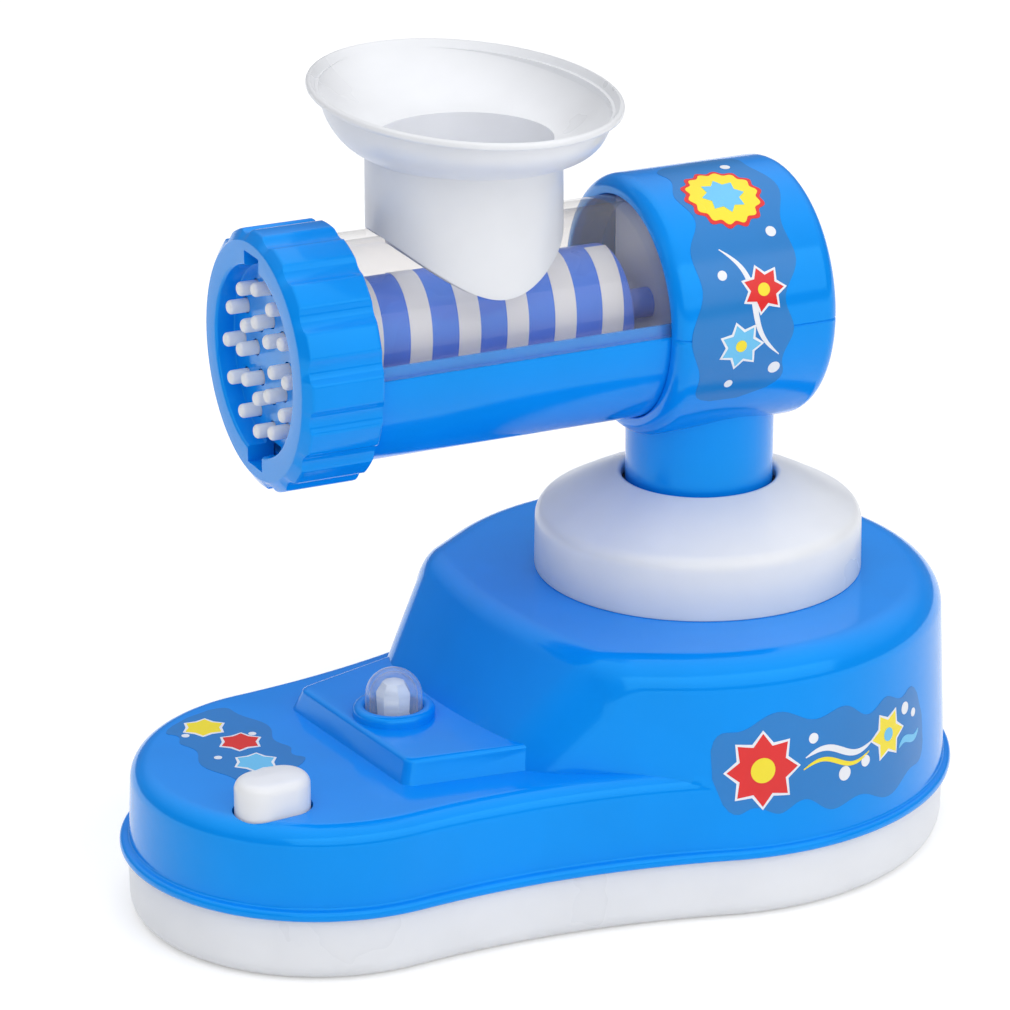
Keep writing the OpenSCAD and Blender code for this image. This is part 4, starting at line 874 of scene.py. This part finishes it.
def make_drum(blue, white):
    dish = X_DRUM_REAR - DRUM_DISH
    corners = [(X_DRUM_FRONT, 0), (X_DRUM_FRONT, DRUM_R), (X_DRUM_REAR, DRUM_R), (X_DRUM_REAR, DRUM_DISH_R),
               (dish, DRUM_DISH_R), (dish, 0)]
    profile = rounded(corners, [0, 0.6, 0.6, 0, 0, 0], steps=4)
    drum = lathe("auger_drum_form", profile, about_x, HEAD_PLACE, n=160, closed=False)
    piece(drum, blue, "drum", "drum", "auger_drum")
    half = STRIPE_HALF
    foot = DRUM_R - 0.05
    top = DRUM_R + 0.12
    first = X_DRUM_FRONT + half + 0.3
    last = X_DRUM_REAR - half - 0.3
    steps = int((last - first)/STRIPE_PITCH*72)
    rings = []
    for i in range(steps + 1):
        x = first + (last - first)*i/steps
        a = STRIPE_ANGLE - 2*pi*(x - STRIPE_X)/STRIPE_PITCH
        section = [(x - half, foot), (x - half, top), (x + half, top), (x + half, foot)]
        rings.append([about_x(sx, sr, a) for sx, sr in section])
    stripe = block("drum_stripe", rings, HEAD_PLACE)
    piece(stripe, white, "drum", "white")


def make_pins(material):
    tip = X_PLATE_FRONT - PIN_OUT
    carrier = OUTER_RING_R + PIN_R + 1
    rear = X_CARRIER + CARRIER_T
    corners = [(X_CARRIER, CUP_IN_R), (X_CARRIER, carrier), (rear, carrier), (rear, CUP_R),
               (X_CUP_REAR, CUP_R), (X_CUP_REAR, CUP_IN_R)]
    section = rounded(corners, [0, 0.3, 0.3, 0, 0.3, 0], closed=True)
    plate = lathe("pin_plate_form", section, about_x, HEAD_PLACE, n=96)
    foot = X_CARRIER + CARRIER_T/2
    profile = rounded([(tip, 0), (tip, PIN_R), (foot, PIN_R), (foot, 0)], [0, 0.85, 0, 0], steps=6)
    pins = []
    for y, z in pin_spots():
        place = HEAD_PLACE @ Matrix.Translation((0, y, z))
        pins.append(lathe("pin", profile, about_x, place, n=40, closed=False))
    combine(plate, pins, "UNION")
    piece(plate, material, "pins", "white", "pin_plate")


# Hopper

def oval(half_x, half_y, z, n=192):
    """Level oval ring."""
    return [(half_x*cos(2*pi*i/n), half_y*sin(2*pi*i/n), z) for i in range(n)]


def seated(radius, seat_r, n=192):
    """Ring of the chute where it meets the round barrel."""
    ring = []
    for i in range(n):
        a = 2*pi*i/n
        y = radius*sin(a)
        ring.append((radius*cos(a), y, sqrt(seat_r**2 - y**2)))
    return ring


def make_hopper(material):
    rim = RIM_Z - BARREL_Z
    foot = DISH_Z - BARREL_Z
    seat_r = BARREL_R + CLEAR
    wall_x = RIM_HALF_X - RIM_OUT
    wall_y = RIM_HALF_Y - RIM_OUT
    dish_h = rim - RIM_T - foot
    inner_r = CHUTE_R - HOPPER_T
    spigot_r = CHUTE_R - SPIGOT_SET
    spigot_in = spigot_r - SPIGOT_T
    spigot_foot = BARREL_IN_R - SPIGOT_T
    rings = [seated(CHUTE_R, seat_r), oval(CHUTE_R, CHUTE_R, foot - 0.8)]
    for i in range(1, 15):
        a = radians(90*i/14)
        rings.append(oval(CHUTE_R + (wall_x - CHUTE_R)*sin(a), CHUTE_R + (wall_y - CHUTE_R)*sin(a),
                          foot + dish_h*(1 - cos(a))))
    bead = rounded([(-RIM_OUT, rim - RIM_T), (0, rim - RIM_T), (0, rim), (-RIM_EDGE, rim)],
                   [0, 0.5, 0.7, 0], steps=4)
    for grow, z in bead[1:-1]:
        rings.append(oval(RIM_HALF_X + grow, RIM_HALF_Y + grow, z))
    for i in range(20, -1, -1):
        t = i/20
        z = foot + HOPPER_T + (dish_h + RIM_T - HOPPER_T)*t*t
        rings.append(oval(inner_r + (RIM_HALF_X - RIM_EDGE - inner_r)*t,
                          inner_r + (RIM_HALF_Y - RIM_EDGE - inner_r)*t, z))
    rings.append(oval(inner_r - 0.3, inner_r - 0.3, foot - 1))
    rings.append(oval(spigot_in, spigot_in, seat_r + 3))
    rings.append(seated(spigot_in, spigot_foot))
    rings.append(seated(spigot_r, spigot_foot))
    rings.append(seated(spigot_r, seat_r))
    hopper = new_object("hopper_form", *skin(rings, closed=True), CHUTE_PLACE)
    piece(hopper, material, "hopper", "white", "hopper")


# Stickers

STICKER_FOOT = -0.04
LAYER = 0.06
DECK_STICKER_X = -62.5
DECK_STICKER_Y = 11.5
HEEL_STICKER_SET = 24
HEEL_STICKER_Z = 31
HOUSING_STICKER_X = -2
HOUSING_STICKER_ANGLE = radians(148)


def on_deck(u, v, h):
    """Deck point: u runs across the toe to the rear, v towards the far side."""
    return DECK_STICKER_X + u, DECK_STICKER_Y + v, DECK_Z + h


def on_heel(u, v, h):
    """Point of the heel wall: u runs round the heel, v upward."""
    z = HEEL_STICKER_Z + v
    spot = (HEEL_X, 0, HEEL_R, -1, -HEEL_ANGLE + (u + HEEL_STICKER_SET)/HEEL_R)
    return edge_point(spot, FLANGE_OUT - HEEL_STEP + lean(z) - h) + (z,)


def on_housing(u, v, h):
    """Point of the housing's side: u runs along the barrel axis, v upward round the housing."""
    spot = about_x(HOUSING_STICKER_X + u, HOUSING_R + h, HOUSING_STICKER_ANGLE - v/HOUSING_R)
    return tuple(HEAD_PLACE @ Vector(spot))


def star(points, outer, inner):
    """Reach of a straight-edged star by angle."""
    step = pi/points

    def reach(a):
        part = a % (2*step)
        part = min(part, 2*step - part)
        return outer*inner*sin(step)/(inner*sin(step - part) + outer*sin(part))
    return reach


def scallop(lobes, radius, depth):
    """Reach of a disc with a wavy edge by angle."""
    return lambda a: radius + depth*cos(lobes*a)


def disc(radius):
    """Reach of a plain disc."""
    return scallop(1, radius, 0)


def patch(surface, u, v, reach, level, n=96, rings=7):
    """Thin flat motif round a centre, laid on a surface."""
    columns = []
    for i in range(n):
        a = 2*pi*i/n
        spots = [(u + reach(a)*k/rings*cos(a), v + reach(a)*k/rings*sin(a)) for k in range(rings + 1)]
        top = [surface(x, y, LAYER*level) for x, y in spots]
        foot = [surface(x, y, STICKER_FOOT) for x, y in reversed(spots)]
        columns.append(top + foot)
    return skin(columns, wrap=False, closed=True)


def ribbon(surface, path, width, level, cols=8):
    """Thin flat band along a path, laid on a surface; width gives its half width along the way."""
    rings = []
    last = len(path) - 1
    for i, (u, v) in enumerate(path):
        along = Vector(path[min(i + 1, last)]) - Vector(path[max(i - 1, 0)])
        along.normalize()
        half = width(i/last)
        spots = [(u - along.y*half*k/cols, v + along.x*half*k/cols) for k in range(-cols, cols + 1)]
        top = [surface(x, y, LAYER*level) for x, y in spots]
        foot = [surface(x, y, STICKER_FOOT) for x, y in reversed(spots)]
        rings.append(top + foot)
    return capped(rings)


def wave(start, end, swing, turns, n=60):
    """Wavy path between two points of a sticker."""
    a = Vector(start)
    run = Vector(end) - a
    side = Vector((-run.y, run.x)).normalized()
    return [tuple(a + run*i/n + side*swing*sin(2*pi*turns*i/n)) for i in range(n + 1)]


def tapered(full, low=0.12):
    """Half width that swells from thin ends."""
    return lambda t: max(low, full*sin(pi*t)**0.6)


def lobed(full, dip, lobes, end=0.1):
    """Half width of a backing with scalloped sides and round ends."""
    def width(t):
        near = min(1, min(t, 1 - t)/end)
        return max(0.05, (full - dip*(0.5 - 0.5*cos(2*pi*lobes*t)))*sqrt(1 - (1 - near)**2))
    return width


def apply_sticker(name, body, finish, layers):
    """Makes one object per colour from the motifs of a sticker."""
    for colour, motifs in layers.items():
        verts = []
        faces = []
        for points, quads in motifs:
            faces += [tuple(i + len(verts) for i in quad) for quad in quads]
            verts += points
        piece(new_object(name + "_" + colour, verts, faces), finish[colour], body, None)


def make_deck_sticker(finish):
    """Three small stars in a column."""
    spot = on_deck
    stars = {"yellow": (-1.2, 11.2), "red": (1.6, 1.2), "pale": (-0.6, -9.2)}
    dots = [(-6.2, 9.5), (5.6, 3.6), (-5.8, -3.4)]
    paper = [patch(spot, u, v, star(6, 4.7, 3.6), 2) for u, v in stars.values()]
    paper += [patch(spot, u, v, disc(0.8), 2, 24, 2) for u, v in dots]
    layers = {
        "backing": [ribbon(spot, wave((-1.5, 17.5), (1.5, -17), 1.4, 1), lobed(9.6, 1.6, 3), 1)],
        "paper": paper,
    }
    for colour, (u, v) in stars.items():
        layers[colour] = [patch(spot, u, v, star(6, 4.1, 3.0), 3)]
    apply_sticker("deck_sticker", "base", finish, layers)


def make_heel_sticker(finish):
    """Sun, star, two waves and bubbles."""
    spot = on_heel
    sun = (-17.5, 0.6)
    small = (14.2, 1.4)
    bubbles = [(1.5, -3.4, 1.5), (7.2, -2.2, 1.2), (20.4, 5.0, 1.3), (23.8, 3.0, 0.9), (-6.2, 5.6, 1.1)]
    paper = [patch(spot, *sun, star(8, 8.3, 6.0), 2, 128), patch(spot, *small, star(6, 5.6, 3.6), 2)]
    paper.append(ribbon(spot, wave((-8, 1.8), (9.2, 1.6), 1.3, 1), tapered(0.7), 2))
    paper += [patch(spot, u, v, disc(r), 2, 32, 3) for u, v, r in bubbles]
    apply_sticker("heel_sticker", "base", finish, {
        "backing": [ribbon(spot, wave((-28, -0.5), (28, 1.0), 1.8, 1), lobed(10.6, 2.4, 4), 1)],
        "paper": paper,
        "red": [patch(spot, *sun, star(8, 7.6, 5.3), 3, 128)],
        "yellow": [patch(spot, *sun, disc(2.6), 4, 48, 3), patch(spot, *small, star(6, 5.0, 3.0), 3),
                   ribbon(spot, wave((-8.5, -0.6), (8.2, -0.4), 1.3, 1), tapered(0.5), 2)],
        "pale": [ribbon(spot, wave((18, -2.8), (26, -1.2), 0.8, 1), tapered(0.8), 2),
                 patch(spot, *small, disc(1.4), 4, 32, 3)],
    })


def make_housing_sticker(finish):
    """Scalloped disc over two stars on a wavy stem."""
    spot = on_housing
    sun = (0.4, 14.8)
    upper = (2.4, -6.4)
    lower = (-3.0, -17.0)
    dots = [(5.8, 24.5, 1.0), (6.8, 4.8, 1.1), (-6.0, -2.6, 1.0), (5.0, -23.0, 1.3), (-4.6, -25.4, 0.9)]
    paper = [patch(spot, *place, star(7, 5.1, 3.4), 2, 112) for place in (upper, lower)]
    paper.append(ribbon(spot, wave((-5.4, 2.6), (5.6, -20.0), 1.6, 1), tapered(0.6), 2))
    paper += [patch(spot, u, v, disc(r), 2, 32, 3) for u, v, r in dots]
    apply_sticker("housing_sticker", "head", finish, {
        "backing": [ribbon(spot, wave((0.5, 31), (-1.5, -30), 1.6, 1), lobed(11.2, 2.2, 4), 1, 12)],
        "red": [patch(spot, *sun, scallop(14, 8.0, 0.45), 2, 168),
                patch(spot, *upper, star(7, 4.4, 2.8), 3, 112)],
        "yellow": [patch(spot, *sun, scallop(14, 7.1, 0.4), 3, 168),
                   patch(spot, *upper, disc(1.3), 4, 32, 3), patch(spot, *lower, disc(1.2), 4, 32, 3)],
        "paper": paper,
        "pale": [patch(spot, *lower, star(7, 4.4, 2.8), 3, 112),
                 patch(spot, *sun, star(8, 4.6, 3.2), 4, 128)],
    })


# Pieces that keep their own solids

def dress_nodes(finish):
    """Gives every node that is still shown its finish, by the record's slots."""
    for entry in frame["record"]["subparts"]:
        node = frame["nodes"][entry["node"]]
        node.data.materials.clear()
        node.data.materials.append(finish[entry["material_slot"]])


# Stage, with places in millimetres and the lamp's size in metres

CAMERA_PLACE = (-483.43, -785.88, 419.68)
CAMERA_TARGET = (-5.09, 4.15, 73.54)
CAMERA_LENS = 177.4
KEY_PLACE = (-146, -1671, 972)
KEY_TARGET = (0, 0, 80)
KEY_SIZE = (3.3, 1.3)
KEY_POWER = 16
SKY_LEVEL = 0.2
SKY_ZENITH = 1.6
FLOOR_GLOW = 0.3
FLOOR_HALF = 4000


def aim(obj, place, target):
    """Sets an object at a place, looking at a target."""
    obj.location = Vector(place)*MM
    obj.rotation_euler = (Vector(target) - Vector(place)).to_track_quat("-Z", "Y").to_euler()


def make_camera():
    data = bpy.data.cameras.new("camera")
    data.sensor_width = 36
    data.lens = CAMERA_LENS
    data.clip_end = 20
    camera = bpy.data.objects.new("camera", data)
    bpy.context.collection.objects.link(camera)
    aim(camera, CAMERA_PLACE, CAMERA_TARGET)
    bpy.context.scene.camera = camera


def make_key_light():
    data = bpy.data.lights.new("key", "AREA")
    data.shape = "RECTANGLE"
    data.size = KEY_SIZE[0]
    data.size_y = KEY_SIZE[1]
    data.energy = KEY_POWER
    lamp = bpy.data.objects.new("key", data)
    bpy.context.collection.objects.link(lamp)
    aim(lamp, KEY_PLACE, KEY_TARGET)


def make_floor():
    """Pale floor that keeps the object's shadow and looks white to the camera and in reflections."""
    material = bpy.data.materials.new("floor_paper")
    material.use_nodes = True
    tree = material.node_tree
    shader = tree.nodes["Principled BSDF"]
    cloud = noise_node(tree, 3, 2)
    tone = tone_node(tree, cloud, srgb("#EDEDED"), srgb("#F0F0F0"))
    tree.links.new(tone.outputs["Color"], shader.inputs["Base Color"])
    shader.inputs["Roughness"].default_value = 0.9
    shader.inputs["Specular IOR Level"].default_value = 0.0
    glow = tree.nodes.new("ShaderNodeEmission")
    path = tree.nodes.new("ShaderNodeLightPath")
    seen = tree.nodes.new("ShaderNodeMath")
    seen.operation = "MAXIMUM"
    tree.links.new(path.outputs["Is Camera Ray"], seen.inputs[0])
    tree.links.new(path.outputs["Is Transmission Ray"], seen.inputs[1])
    both = tree.nodes.new("ShaderNodeMath")
    both.operation = "MAXIMUM"
    tree.links.new(seen.outputs["Value"], both.inputs[0])
    tree.links.new(path.outputs["Is Glossy Ray"], both.inputs[1])
    level = tree.nodes.new("ShaderNodeMath")
    level.operation = "MULTIPLY"
    level.inputs[1].default_value = FLOOR_GLOW
    tree.links.new(both.outputs["Value"], level.inputs[0])
    tree.links.new(level.outputs["Value"], glow.inputs["Strength"])
    total = tree.nodes.new("ShaderNodeAddShader")
    tree.links.new(shader.outputs["BSDF"], total.inputs[0])
    tree.links.new(glow.outputs["Emission"], total.inputs[1])
    tree.links.new(total.outputs["Shader"], tree.nodes["Material Output"].inputs["Surface"])
    half = FLOOR_HALF
    corners = [(-half, -half, 0), (half, -half, 0), (half, half, 0), (-half, half, 0)]
    floor = new_object("floor", corners, [(0, 1, 2, 3)])
    floor.data.materials.append(material)


def make_world():
    """Soft light from all round that grows towards the zenith."""
    world = bpy.data.worlds.new("studio")
    world.use_nodes = True
    tree = world.node_tree
    background = tree.nodes["Background"]
    background.inputs["Color"].default_value = srgb("#F6F7FA")
    coords = tree.nodes.new("ShaderNodeTexCoord")
    parts = tree.nodes.new("ShaderNodeSeparateXYZ")
    tree.links.new(coords.outputs["Generated"], parts.inputs["Vector"])
    rise = tree.nodes.new("ShaderNodeMapRange")
    rise.inputs["From Min"].default_value = 0.3
    rise.inputs["To Min"].default_value = SKY_LEVEL
    rise.inputs["To Max"].default_value = SKY_ZENITH
    tree.links.new(parts.outputs["Z"], rise.inputs["Value"])
    tree.links.new(rise.outputs["Result"], background.inputs["Strength"])
    bpy.context.scene.world = world


finish = make_materials()
make_base_shell(finish["blue"])
make_base_tray(finish["white"])
make_collar(finish["white"])
make_button(finish["white"])
make_lamp(finish["lens"], finish["led"])
make_head_upper(finish["blue"])
make_head_lower(finish["blue"])
make_window(finish["clear"])
make_cap(finish["blue"])
make_drum(finish["drum"], finish["stripe"])
make_pins(finish["white"])
make_hopper(finish["white"])
make_deck_sticker(finish)
make_heel_sticker(finish)
make_housing_sticker(finish)
dress_nodes(finish)
make_floor()
make_world()
make_key_light()
make_camera()
bpy.context.scene.view_settings.view_transform = "Standard"
